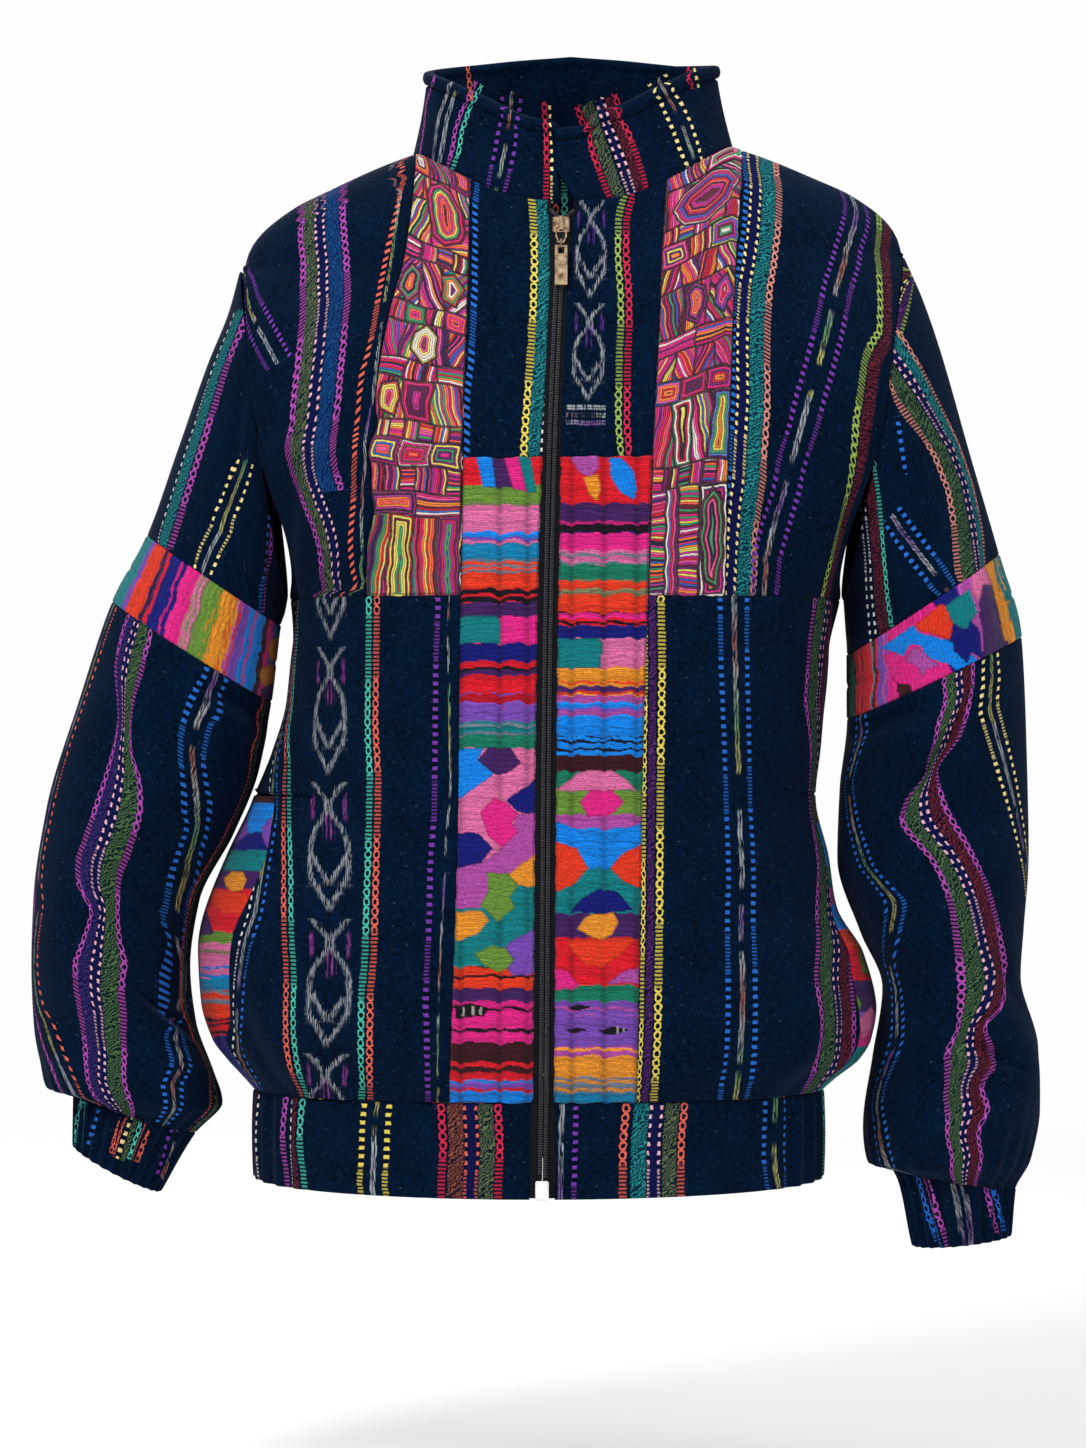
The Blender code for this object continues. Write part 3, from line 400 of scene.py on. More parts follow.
# Navy cotton with woven stripes. The ground is a plain matt weave; on it lie chain stripes, dashes and
# dots of thick bright yarn, bands of fine twill, feathered ikat lines and a row of larger ikat figures.
# Each kind of stripe is one shader group, which works from the distance to the stripe's middle line.
class Value:
    """A number that changes over the cloth; sums with it add Math nodes to its node tree."""

    def __init__(self, tree, socket):
        self.tree = tree
        self.socket = socket

    def math(self, operation, *others, clamp=False):
        made = self.tree.nodes.new("ShaderNodeMath")
        made.operation = operation
        made.use_clamp = clamp
        for place, value in zip(made.inputs, (self, *others)):
            connect(self.tree, value, place)
        return Value(self.tree, made.outputs[0])

    def __add__(self, other):
        return self.math("ADD", other)

    def __sub__(self, other):
        return self.math("SUBTRACT", other)

    def __mul__(self, other):
        return self.math("MULTIPLY", other)

    def __truediv__(self, other):
        return self.math("DIVIDE", other)

    def __abs__(self):
        return self.math("ABSOLUTE")

    def ramp(self, start, end):
        """Nought at start and one at end, clamped; start may be the larger."""
        return self.math("SUBTRACT", start).math("DIVIDE", end - start, clamp=True)

    def wave(self, length):
        """How far this is from the middle of its repeat: nought in the middle and one at the joint."""
        return abs((self / length).math("FRACT") - 0.5) * 2.0


def connect(tree, value, place):
    if isinstance(value, Value):
        tree.links.new(value.socket, place)
    elif place.type == "RGBA" and len(value) == 3:
        place.default_value = (*value, 1)
    else:
        place.default_value = value


def blend_colour(tree, share, first, second, kind="MIX"):
    made = tree.nodes.new("ShaderNodeMix")
    made.data_type = "RGBA"
    made.blend_type = kind
    connect(tree, share, made.inputs[0])
    connect(tree, first, made.inputs[6])
    connect(tree, second, made.inputs[7])
    return Value(tree, made.outputs[2])


def shade(tree, share, colour, low, high):
    """A colour that goes from low to high times itself with the share."""
    dark = blend_colour(tree, 1.0, colour, (low, low, low), "MULTIPLY")
    light = blend_colour(tree, 1.0, colour, (high, high, high), "MULTIPLY")
    return blend_colour(tree, share, dark, light)


def noise(tree, across, along, across_scale, along_scale):
    """Noise over the cloth whose grains have their own size across and along."""
    place = tree.nodes.new("ShaderNodeCombineXYZ")
    connect(tree, across * across_scale, place.inputs[0])
    connect(tree, along * along_scale, place.inputs[1])
    made = tree.nodes.new("ShaderNodeTexNoise")
    made.noise_dimensions = "2D"
    made.inputs["Scale"].default_value = 1.0
    made.inputs["Detail"].default_value = 1.0
    tree.links.new(place.outputs[0], made.inputs["Vector"])
    return Value(tree, made.outputs[0])


def noise_along(tree, value):
    """Noise that changes along the cloth alone."""
    made = tree.nodes.new("ShaderNodeTexNoise")
    made.noise_dimensions = "1D"
    made.inputs["Scale"].default_value = 1.0
    made.inputs["Detail"].default_value = 1.0
    connect(tree, value, made.inputs["W"])
    return Value(tree, made.outputs[0])


def dye_ramp(tree, place, dyes, kind="LINEAR"):
    """A colour read off a row of dyes by a place from nought to one."""
    made = tree.nodes.new("ShaderNodeValToRGB")
    made.color_ramp.interpolation = kind
    stops = made.color_ramp.elements
    stops[0].color = (*dyes[0][1], 1)
    stops[-1].position = dyes[-1][0]
    stops[-1].color = (*dyes[-1][1], 1)
    for spot, dye in dyes[1:-1]:
        stops.new(spot).color = (*dye, 1)
    connect(tree, place, made.inputs[0])
    return Value(tree, made.outputs[0])


def begin_material(name):
    """A new material, its node tree and its shader."""
    material = bpy.data.materials.new(name)
    material.use_nodes = True
    return material, material.node_tree, material.node_tree.nodes["Principled BSDF"]


def read_weave(tree):
    """How far across and along the cloth each place is, in metres."""
    split = tree.nodes.new("ShaderNodeSeparateXYZ")
    weave_map = tree.nodes.new("ShaderNodeUVMap")
    weave_map.uv_map = "weave"
    tree.links.new(weave_map.outputs[0], split.inputs[0])
    return Value(tree, split.outputs[0]), Value(tree, split.outputs[1])


def read_layer(tree, layer, output="Fac"):
    """A value or colour that was painted on the piece."""
    made = tree.nodes.new("ShaderNodeAttribute")
    made.attribute_name = layer
    return Value(tree, made.outputs[output])


def raise_relief(tree, height, strength, distance):
    """Fine relief that is too small for the mesh."""
    bump = tree.nodes.new("ShaderNodeBump")
    bump.inputs["Strength"].default_value = strength
    bump.inputs["Distance"].default_value = distance
    connect(tree, height, bump.inputs["Height"])
    tree.links.new(bump.outputs[0], tree.nodes["Principled BSDF"].inputs["Normal"])


def set_finish(shader, roughness, specular, sheen=0.0, sheen_roughness=0.5):
    shader.inputs["Roughness"].default_value = roughness
    shader.inputs["Specular IOR Level"].default_value = specular
    shader.inputs["Sheen Weight"].default_value = sheen
    shader.inputs["Sheen Roughness"].default_value = sheen_roughness


def begin_group(name, numbers, colours):
    """A shader group with number and colour inputs, which puts out a colour and a height."""
    group = bpy.data.node_groups.new(name, "ShaderNodeTree")
    for label in numbers:
        group.interface.new_socket(label, in_out="INPUT", socket_type="NodeSocketFloat")
    for label in colours:
        group.interface.new_socket(label, in_out="INPUT", socket_type="NodeSocketColor")
    group.interface.new_socket("Colour", in_out="OUTPUT", socket_type="NodeSocketColor")
    group.interface.new_socket("Height", in_out="OUTPUT", socket_type="NodeSocketFloat")
    entry = group.nodes.new("NodeGroupInput")
    return group, [Value(group, socket) for socket in entry.outputs[: len(numbers) + len(colours)]]


def end_group(group, colour, height):
    leave = group.nodes.new("NodeGroupOutput")
    connect(group, colour, leave.inputs[0])
    connect(group, height, leave.inputs[1])


def use_group(tree, group, *values):
    made = tree.nodes.new("ShaderNodeGroup")
    made.node_tree = group
    for value, place in zip(values, made.inputs):
        connect(tree, value, place)
    return [Value(tree, socket) for socket in made.outputs]


def yarn(red, green, blue):
    """A yarn's colour, from screen values to light values."""
    return tuple(((v / 255 + 0.055) / 1.055) ** 2.4 if v > 10 else v / 3294 for v in (red, green, blue))


# Plain weave: threads along and across, slightly uneven in colour, with a few light flecks of lint. It
# also measures the grain of the yarn, which the stripes share.
plain_weave, (across, along, ground) = begin_group("plain_weave", ["Across", "Along"], ["Ground"])
warp = noise(plain_weave, across, along, 1500.0, 160.0)
weft = noise(plain_weave, across, along, 160.0, 1500.0)
cloudy = noise(plain_weave, across, along, 45.0, 30.0)
crinkle = noise(plain_weave, across, along, 300.0, 420.0)
tone = (warp * 0.9 + weft * 0.9 + cloudy * 0.6 + crinkle * 1.2).ramp(1.0, 2.6)
lint = noise(plain_weave, across, along, 330.0, 520.0).ramp(0.79, 0.86) * 0.12
woven = shade(plain_weave, tone, ground, 0.05, 1.95)
linted = blend_colour(plain_weave, lint, woven, (0.35, 0.42, 0.5))
end_group(plain_weave, linted, (warp + weft) * 0.5 + crinkle * 0.9)
for label in ("Fine", "Ragged", "Streak"):
    plain_weave.interface.new_socket(label, in_out="OUTPUT", socket_type="NodeSocketFloat")
leave = plain_weave.nodes["Group Output"]
connect(plain_weave, noise(plain_weave, across, along, 1400.0, 1100.0), leave.inputs["Fine"])
connect(plain_weave, crinkle - 0.5, leave.inputs["Ragged"])
connect(plain_weave, noise(plain_weave, across, along, 1500.0, 120.0), leave.inputs["Streak"])

# Thick yarn floats: links of a chain, or dashes, that turn into a close hatch for part of the way.
names = ["Off", "Along", "Width", "Pitch", "Link", "Shift", "Ground Height", "Fine", "Ragged"]
float_stripe, (off, along, width, pitch, link, shift, under, fine, ragged, colour, ground) = begin_group(
    "float_stripe", names, ["Yarn", "Ground"]
)
beside = abs(off + ragged * 0.0014) / (width * 0.5)
inside = beside.ramp(1.08, 0.92)
joint = along.wave(pitch)
ring_reach = (beside * beside + joint * joint).math("SQRT")
rings = ring_reach.ramp(0.48, 0.66) * ring_reach.ramp(1.14, 0.98)
dash = joint.ramp(0.54, 0.38)
hatch = along.wave(pitch * 0.42).ramp(0.72, 0.4)
zone = ((along * 64.0 + shift * 6.28).math("SINE") + 0.72 - link * 0.42).ramp(-0.12, 0.12)
open_part = dash + (rings - dash) * link
strength = (hatch * 0.6 + (open_part - hatch * 0.6) * zone) * inside
bright = shade(float_stripe, fine.ramp(0.2, 0.8), colour, 0.55, 1.45)
darkened = blend_colour(float_stripe, inside * 0.55, ground, (0.001, 0.001, 0.003))
end_group(float_stripe, blend_colour(float_stripe, strength, darkened, bright), under + strength * 0.9)

# Twill band: fine wavy lines of a light yarn over a dark one.
names = ["Off", "Along", "Width", "Ground Height", "Fine", "Ragged"]
twill_band, (off, along, width, under, fine, ragged, light, dark, ground) = begin_group(
    "twill_band", names, ["Light", "Dark", "Ground"]
)
inside = (abs(off + ragged * 0.0016) / (width * 0.5)).ramp(1.05, 0.95)
swing = (along * 300.0 + off * 420.0).math("SINE") * 0.0009
slope = along * 0.72 + off * 0.7 + swing + ragged * 0.003
lines = slope.wave(0.0019).ramp(0.35, 0.75)
lit = blend_colour(twill_band, lines, dark, shade(twill_band, fine.ramp(0.2, 0.8), light, 0.55, 1.45))
end_group(twill_band, blend_colour(twill_band, inside, ground, lit), under + lines * inside * 0.7)

# Feathered ikat line: thin broken strokes whose dye changes along them.
names = ["Off", "Along", "Width", "Shift", "Ground Height", "Streak"]
ikat_line, (off, along, width, shift, under, streak, ground) = begin_group("ikat_line", names, ["Ground"])
drift = (noise_along(ikat_line, along * 120.0 + shift * 50.0) - 0.5) * 0.9
drift = (along * 95.0).math("SINE") * 0.12 + drift
stroke = abs(abs(off / width + drift * 0.3) - 0.2).ramp(0.2, 0.09)
broken = streak.ramp(0.4, 0.56)
patch = noise_along(ikat_line, along * 34.0 + shift * 70.0).ramp(0.33, 0.42)
IKAT_DYES = [
    (0.0, yarn(165, 172, 175)),
    (0.24, yarn(150, 155, 160)),
    (0.34, yarn(110, 70, 140)),
    (0.44, yarn(160, 165, 165)),
    (0.56, yarn(150, 90, 70)),
    (0.66, yarn(160, 165, 160)),
    (0.78, yarn(90, 140, 90)),
    (0.88, yarn(170, 165, 100)),
]
dyed = dye_ramp(ikat_line, (along * 4.6 + shift).math("FRACT"), IKAT_DYES)
strength = stroke * broken * patch * 0.85
end_group(ikat_line, blend_colour(ikat_line, strength, ground, dyed), under + strength * 0.15)

# Ikat figure: two arms that cross above a bulb with a double chevron at its foot, all in feathered
# upright strokes of undyed yarn, with dyed flecks beside the arms and inside the neck.
names = ["Off", "Along", "Width", "Pitch", "Shift", "Ground Height", "Ragged", "Streak"]
ikat_figure, (off, along, width, pitch, shift, under, ragged, streak, flank, ground) = begin_group(
    "ikat_figure", names, ["Flank", "Ground"]
)
down = (along / pitch + shift).math("FRACT") + (streak - 0.5) * 0.16
beside = abs(off) / (width * 0.5) + ragged * 0.12


def profile_curve(tree, value, corners):
    """A number read off a drawn curve."""
    made = tree.nodes.new("ShaderNodeFloatCurve")
    curve = made.mapping.curves[0]
    for spot, rise in corners[1:-1]:
        curve.points.new(spot, rise).handle_type = "VECTOR"
    curve.points[0].location = corners[0]
    curve.points[-1].location = corners[-1]
    made.mapping.update()
    connect(tree, value, made.inputs["Value"])
    return Value(tree, made.outputs[0])


corners = [(0.0, 0.95), (0.15, 0.1), (0.24, 0.1), (0.36, 0.72), (0.46, 0.92), (0.7, 0.94)]
corners += [(0.93, 0.02), (1, 0)]
outline = abs(beside - profile_curve(ikat_figure, down, corners)).ramp(0.17, 0.08) * down.ramp(0.965, 0.93)
corners = [(0.0, 1.0), (0.5, 1.0), (0.56, 0.28), (0.76, 0.007), (0.79, 0.7), (1, 1.0)]
chevron = abs(beside - profile_curve(ikat_figure, down, corners) * 3.0).ramp(0.17, 0.08)
chevron = chevron * beside.ramp(1.2, 1.0)
neck = beside.ramp(0.34, 0.26) * abs(down - 0.33).ramp(0.12, 0.08) * off.wave(0.0034).ramp(0.6, 0.3)
flanks = abs(beside - 0.86).ramp(0.13, 0.07) * abs(down - 0.2).ramp(0.1, 0.06)
streaks = streak.ramp(0.42, 0.56)
white = outline.math("MAXIMUM", chevron) * streaks * 0.5
dyed = flanks.math("MAXIMUM", neck) * streaks * 0.55
figure = blend_colour(ikat_figure, white, ground, yarn(178, 184, 190))
end_group(ikat_figure, blend_colour(ikat_figure, dyed, figure, flank), under + white * 0.1)

YARNS = {
    "magenta": yarn(158, 70, 158),
    "coral": yarn(205, 92, 78),
    "crimson": yarn(190, 40, 70),
    "salmon": yarn(196, 128, 118),
    "yellow": yarn(208, 190, 84),
    "lime": yarn(140, 164, 80),
    "teal": yarn(70, 172, 152),
    "blue": yarn(36, 98, 184),
    "purple": yarn(104, 52, 150),
    "white": yarn(205, 205, 200),
    "pinkish": yarn(214, 168, 182),
    "cream": yarn(224, 205, 140),
}
TWILLS = {
    "teal": (yarn(34, 122, 124), yarn(5, 42, 58)),
    "olive": (yarn(84, 98, 68), yarn(12, 26, 34)),
    "blue": (yarn(20, 66, 116), yarn(5, 28, 72)),
    "purple": (yarn(48, 38, 94), yarn(18, 16, 58)),
    "violet": (yarn(76, 38, 94), yarn(28, 14, 52)),
    "wine": (yarn(92, 34, 46), yarn(32, 10, 26)),
    "brown": (yarn(122, 68, 54), yarn(36, 18, 34)),
    "moss": (yarn(68, 94, 60), yarn(10, 30, 30)),
    "indigo": (yarn(16, 20, 68), yarn(10, 16, 58)),
}
NAVY_GROUND = yarn(1, 17, 38)
FLOAT_PITCHES = {"chain": 5.8, "dash": 5.2, "dots": 5.6}
UNREACHED = 400.0
LINE_END = 14.0


def on_cloth(laid, column, line):
    """Measure across the cloth that shows at a point of the view, and its row in the grid."""
    points, normals, across, _ = laid
    rows = np.arange(len(points))[:, None] + 0.0 * across
    view_column, view_line = in_view(points)
    hidden = np.where(normals[..., 1] < 0.05, 0, 1e6)
    away = (view_column - column) ** 2 + (view_line - line) ** 2 + hidden
    row, place = np.unravel_index(away[1:-1, 1:-1].argmin(), away[1:-1, 1:-1].shape)
    row, place = row + 1, place + 1

    def change(values):
        beside = (values[row, place + 1] - values[row, place - 1]) / 2
        below = (values[row + 1, place] - values[row - 1, place]) / 2
        return beside, below

    slopes = np.array([change(view_column), change(view_line)])
    miss = np.array([column - view_column[row, place], line - view_line[row, place]])
    move = np.clip(np.linalg.solve(slopes + np.eye(2) * 1e-6, miss), -1, 1)
    read = [value[row, place] + np.dot(change(value), move) for value in (across, rows)]
    return float(read[0]), float(read[1])


def line_on_cloth(laid, line):
    """Where a line runs on the cloth: its distance across, or points of the view, that None may end."""
    closed = np.allclose(laid[0][:, 0], laid[0][:, -1])
    around = laid[2][:, -1] / laid[2][:, -1].mean() if closed else np.ones(len(laid[3]))
    if np.isscalar(line):
        return line * around[:, None] + 0 * laid[3]
    ended = line[-1] is None
    spots = [on_cloth(laid, *spot) for spot in (line[:-1] if ended else line)]
    rows = np.arange(len(around))
    table = sorted({round(row, 1): across / np.interp(row, rows, around) for across, row in spots}.items())
    rows = rows[:, None] + 0.0 * laid[3]
    return read_table(table, rows)[0] * around[:, None] + UNREACHED * (ended & (rows > table[-1][0]))


def off_lines(laid, first, last=None, half=1.0):
    """Distance from a line at every grid point, or the place between two lines, half a width each way."""
    start = line_on_cloth(laid, first)
    if last is None:
        return laid[2] - start
    return (2 * (laid[2] - start) / (line_on_cloth(laid, last) - start) - 1) * half


def off_in_view(laid, first, last=None, half=1.0):
    """The same for lines that slant over a piece, measured in the view, and how far along them it is."""
    if np.isscalar(first):
        return laid[2] - line_on_cloth(laid, first), laid[3]
    column, line = in_view(laid[0])
    first = np.array(first, float)
    other = first if last is None else np.array(last, float)
    middle = (first + other) / 2
    gap = np.hypot(*(other - first).T) / 2
    facing = np.clip(np.abs(laid[1][..., 1]), 0.25, 1.0)
    for _ in range(20):
        facing[1:-1] = (facing[:-2] + 2 * facing[1:-1] + facing[2:]) / 4
    nearest = np.full(column.shape, 1e6)
    off = np.full(column.shape, UNREACHED)
    run = np.zeros(column.shape)
    gone = 0.0
    for k, ((x0, y0), (x1, y1)) in enumerate(zip(middle[:-1], middle[1:])):
        length = np.hypot(x1 - x0, y1 - y0)
        share = ((column - x0) * (x1 - x0) + (line - y0) * (y1 - y0)) / length**2
        low = -LINE_END / length if k == 0 else 0.0
        high = 1 + LINE_END / length if k == len(middle) - 2 else 1.0
        held = np.clip(share, low, high)
        far = np.hypot(column - x0 - held * (x1 - x0), line - y0 - held * (y1 - y0))
        right = np.sign((y1 - y0) * (column - x0) - (x1 - x0) * (line - y0))
        half_gap = mix(gap[k], gap[k + 1], np.clip(share, 0, 1))
        measured = far * LINE_SIZE / facing if last is None else far * half / half_gap
        beyond = ((k == 0) & (share < low)) | ((k == len(middle) - 2) & (share > high))
        closer = far < nearest
        off = np.where(closer, np.where(beyond, UNREACHED, measured) * right, off)
        run = np.where(closer, gone + held * length * LINE_SIZE, run)
        nearest = np.minimum(nearest, far)
        gone += length * LINE_SIZE
    return off, run


def striped_cotton(name, bundles, slanting):
    """The navy cloth of one piece, with its bundles of stripes, each on its own layer."""
    material, tree, shader = begin_material(name)
    across, along = read_weave(tree)
    along = along * -1.0
    colour, height, fine, ragged, streak = use_group(tree, plain_weave, across, along, NAVY_GROUND)
    along = along + ragged * 0.0004
    for index, (stripes, *_) in enumerate(bundles):
        middle = read_layer(tree, f"bundle_{index}") + ragged * 0.3
        if slanting:
            along = read_layer(tree, f"run_{index}")
        for kind, dye, place, width, *more in stripes:
            off = middle * 0.001 - place / 1000
            wide = width / 1000
            if kind == "twill":
                values = (off, along, wide, height, fine, ragged, *TWILLS[dye], colour)
                colour, height = use_group(tree, twill_band, *values)
            elif kind == "ikat":
                colour, height = use_group(tree, ikat_line, off, along, wide, more[0], height, streak, colour)
            elif kind == "figure":
                values = (off, along, wide, more[0] / 1000, more[1], height, ragged, streak)
                values = (*values, YARNS[dye], colour)
                colour, height = use_group(tree, ikat_figure, *values)
            else:
                pitch = FLOAT_PITCHES[kind] / 1000
                link = 1.0 if kind == "chain" else 0.0
                values = (off, along, wide * 0.88, pitch, link, more[0], height, fine, ragged)
                values = (*values, YARNS[dye], colour)
                colour, height = use_group(tree, float_stripe, *values)
    connect(tree, colour, shader.inputs["Base Color"])
    set_finish(shader, roughness=0.94, specular=0.03, sheen=0.04)
    shader.inputs["Sheen Tint"].default_value = (0.35, 0.5, 0.8, 1)
    raise_relief(tree, height, 0.7, 0.0006)
    return material


def sew_striped(node, laid, bundles, held, slanting=False, **how):
    """Makes a piece of the navy cloth, with its stripes where its bundles say."""
    layers = {}
    for index, (_, *line) in enumerate(bundles):
        if slanting:
            layers[f"bundle_{index}"], run = off_in_view(laid, *line)
            layers[f"run_{index}"] = run / 1000
        else:
            layers[f"bundle_{index}"] = off_lines(laid, *line)
    cotton = striped_cotton(f"{node}_cotton", bundles, slanting)
    sew_cloth(node, laid, cotton, "navy_cloth", held, layers=layers, **how)


# The fronts: upright edges of the pieces as x at each height, and what lies between them.
ZIP_LINE = [(10, -7), (-46, -7.2), (-60, -8), (-203, -14), (-350, -17), (-600, -19), (-660, -19.8)]
ZIP_PARTING = [(10, 5), (-40, 6.5), (-46, 7), (-53, 0.6), (-56, 0.15), (-660, 0.15)]
ZIP_HALF_WIDTH = 7.7
ZIP_OVERLAP = [(-66, 0.6), (-90, 2.6), (-203, 2.4), (-260, 1.6), (-600, 1.4)]
EMBROIDERY_EDGES = [
    (10, -100, -64, 60, 108),
    (-10, -100, -64.5, 59, 107),
    (-72, -105, -65, 55, 102),
    (-104, -112, -65.7, 53.3, 99.7),
    (-167, -121, -67.8, 49.8, 96.7),
    (-229, -125.4, -69.5, 46.5, 94.4),
    (-288, -127.7, -70.1, 45.2, 93.6),
]
STRIP_EDGES = [(-203, -68.8, 47.9), (-288, -70.1, 45.2), (-420, -71.1, 41.2), (-600, -76.8, 38.4)]
POCKET_EDGES = [
    (-412, -66.7, 79),
    (-452, -62, 78.8),
    (-475, -63, 78.5),
    (-500, -66, 75),
    (-531, -69, 72.5),
    (-550, -71, 73.5),
    (-570, -75, 77),
    (-600, -77, 79),
]


def zip_edge(height, side):
    half = ZIP_HALF_WIDTH - read_table(ZIP_OVERLAP, height)[0] + 0.35 * read_table(ZIP_PARTING, height)[0]
    return read_table(ZIP_LINE, height)[0] + side * half


def strip_edge(height, column):
    return read_table(STRIP_EDGES, height)[column]


def embroidery_edge(height, column):
    return read_table(EMBROIDERY_EDGES, height)[column]


def inside_edge(height, column, strip):
    return np.where(height > BROCADE_TOP, embroidery_edge(height, column), strip_edge(height, strip))


def armhole_edge(height, side):
    return read_table(BODY_RINGS, np.minimum(height, ARMHOLE_TOP))[0] + side * armhole_reach(height)


def front_points(across, down, edge_a, edge_b, top, foot):
    """Grid of a front piece between two upright edges; its top is a height, or None at the neck seam."""
    across = across[None, :]
    down = down[:, None]
    highest = top
    if top is None:
        x = mix(edge_a(foot + 0 * across), edge_b(foot + 0 * across), across)
        for _ in range(6):
            highest = top_height(x)
            x = mix(edge_a(highest), edge_b(highest), across)
        highest = highest - np.where(np.abs(x) < NECK_SIDE, 0.4, 0.0001)
        down = mix(down, 1 - np.cos(pi * down / 2), 0.85)
    height = mix(highest, foot, down) + 0 * across
    x = mix(edge_a(height), edge_b(height), across)
    return body_points(turn_at(x, height), height)


# Four plain fronts of striped cloth, from the neck and shoulder seams down to the brocade or the yoke
# seam. A bundle gives its stripes first, each with its kind, yarn, distance from the bundle's line and
# width in millimetres. Then come points of the view along that line.
CHEST_RIGHT_STRIPES = [
    (
        [("dash", "blue", 0, 4.3, 0.72)],
        [
            (477, 186), (475, 219), (475, 255), (474.6, 291), (472.8, 331), (470.6, 364), (467, 398),
            (467, 449),
        ],
    ),
    (
        [
            ("chain", "yellow", -6.2, 5.2, 0.7), ("twill", "teal", 0, 7.6),
            ("dots", "white", 5.0, 1.7, 0.72),
        ],
        [
            (542, 206), (544, 242), (544, 286), (542, 331), (540, 364), (537.5, 398), (535, 431),
            (534, 452),
        ],
    ),
]
CHEST_LEFT_STRIPES = [
    ([("figure", "purple", 0, 20, 66.0, 0.0)], [(591.5, 200), (591, 242), (588.8, 349), (587.5, 392)]),
    (
        [("ikat", None, -5.0, 4.4, 0.3), ("ikat", None, 0.0, 4.4, 0.62), ("ikat", None, 5.0, 4.4, 0.1)],
        [(580, 415), (592, 415)],
    ),
    (
        [("chain", "lime", -2.9, 5.0, 0.68), ("chain", "crimson", 2.7, 5.0, 0.68)],
        [
            (629, 192), (622.7, 219), (622, 255), (625, 295), (625.4, 324), (623.8, 353), (622.7, 420),
            (625, 454),
        ],
    ),
]
SHOULDER_RIGHT_STRIPES = [
    (
        [
            ("chain", "magenta", -13.6, 4.8, 0.55), ("twill", "olive", -7.6, 7.6),
            ("twill", "indigo", 0.2, 7.8), ("dots", "pinkish", -2.8, 1.7, 0.4),
            ("dots", "pinkish", 3.0, 1.7, 0.4),
        ],
        [
            (321.6, 213), (320.6, 246), (322.5, 280), (323, 299), (320.6, 330), (317, 368), (313.8, 399),
            (310, 430), (307.5, 447), (309, 471), (318, 499), (327, 521), (333, 545), (335, 575),
            (336.5, 591),
        ],
    ),
    (
        [("twill", "blue", 9.0, 9.4), ("chain", "magenta", 16.6, 5.0, 0.42)],
        [
            (321.6, 213), (320.6, 246), (322.5, 280), (323, 299), (320.6, 330), (317, 368), (313.8, 399),
            (310, 430), (307.5, 447), (309, 471), (316, 494), None,
        ],
    ),
    (
        [("dash", "coral", 0, 3.9, 0.1)],
        [
            (403, 181), (396.6, 211), (390, 239), (384, 268), (378, 299), (373, 330), (367, 355),
            (361, 380), (358, 411), (355, 442), (353.8, 474), (352.8, 505), (350.6, 536), (352, 568),
            (353.8, 589),
        ],
    ),
    (
        [("ikat", None, 0.6, 2.6, 0.3)],
        [
            (400, 192), (395, 225), (390, 261), (380, 330), (370.5, 405), (364, 455), (361, 505),
            (359.5, 567), (359, 591),
        ],
    ),
    (
        [
            ("dash", "purple", 0, 3.4, 0.0), ("ikat", None, -9.5, 4.0, 0.6),
            ("dash", "purple", -17.0, 3.0, 0.5),
        ],
        [(246, 265), (256, 290), (266, 311), (280, 338), (292, 360), None],
    ),
]
SHOULDER_LEFT_STRIPES = [
    (
        [
            ("dash", "blue", -6.0, 3.2, 0.2), ("twill", "indigo", 0, 8.0),
            ("dots", "cream", -3.1, 1.8, 0.16), ("dots", "cream", 3.1, 1.8, 0.2),
            ("twill", "teal", 9.0, 9.0), ("chain", "salmon", 15.8, 4.8, 0.05),
        ],
        [
            (753, 165), (755.6, 193), (753.8, 224), (750, 255), (745, 286), (743, 318), (742.5, 349),
            (742.5, 405), (740.3, 443), (738.8, 474), (735.3, 505), (732.8, 536), (731.3, 568),
            (730, 593),
        ],
    ),
    (
        [
            ("dash", "purple", -8.0, 3.4, 0.35), ("ikat", None, 0, 5.0, 0.12),
            ("dash", "purple", 9.5, 3.6, 0.6),
        ],
        [
            (855.6, 196), (856, 211), (846, 255), (837, 286), (829, 324), (819.7, 361), (808.8, 399),
            (801, 430), (791.6, 461), (783.8, 493), (774.4, 524), (766, 560),
        ],
    ),
    (
        [("chain", "lime", 0, 5.6, 0.2), ("twill", "wine", 7.5, 8.6)],
        [
            (880, 330), (865, 361), (860, 396), (855.6, 430), (852.5, 468), (844.7, 505), (835.3, 543),
            (827.5, 574), (821, 608),
        ],
    ),
]
CHEST = [
    (
        "chest_panel_right",
        CHEST_RIGHT_STRIPES,
        lambda h: embroidery_edge(h, 1),
        lambda h: zip_edge(h, -1),
    ),
    ("chest_panel_left", CHEST_LEFT_STRIPES, lambda h: zip_edge(h, 1), lambda h: embroidery_edge(h, 2)),
    (
        "shoulder_panel_right",
        SHOULDER_RIGHT_STRIPES,
        lambda h: armhole_edge(h, -1),
        lambda h: embroidery_edge(h, 0),
    ),
    (
        "shoulder_panel_left",
        SHOULDER_LEFT_STRIPES,
        lambda h: embroidery_edge(h, 3),
        lambda h: armhole_edge(h, 1),
    ),
]
for node, stripes, edge_a, edge_b in CHEST:
    foot = BROCADE_TOP if node.startswith("chest") else YOKE_SEAM
    grid = front_points(steps(90, 2.4), steps(220, 2.4), edge_a, edge_b, None, foot)
    sew_striped(node, lay_cloth(grid), stripes, "hung", slanting=node == "chest_panel_left")

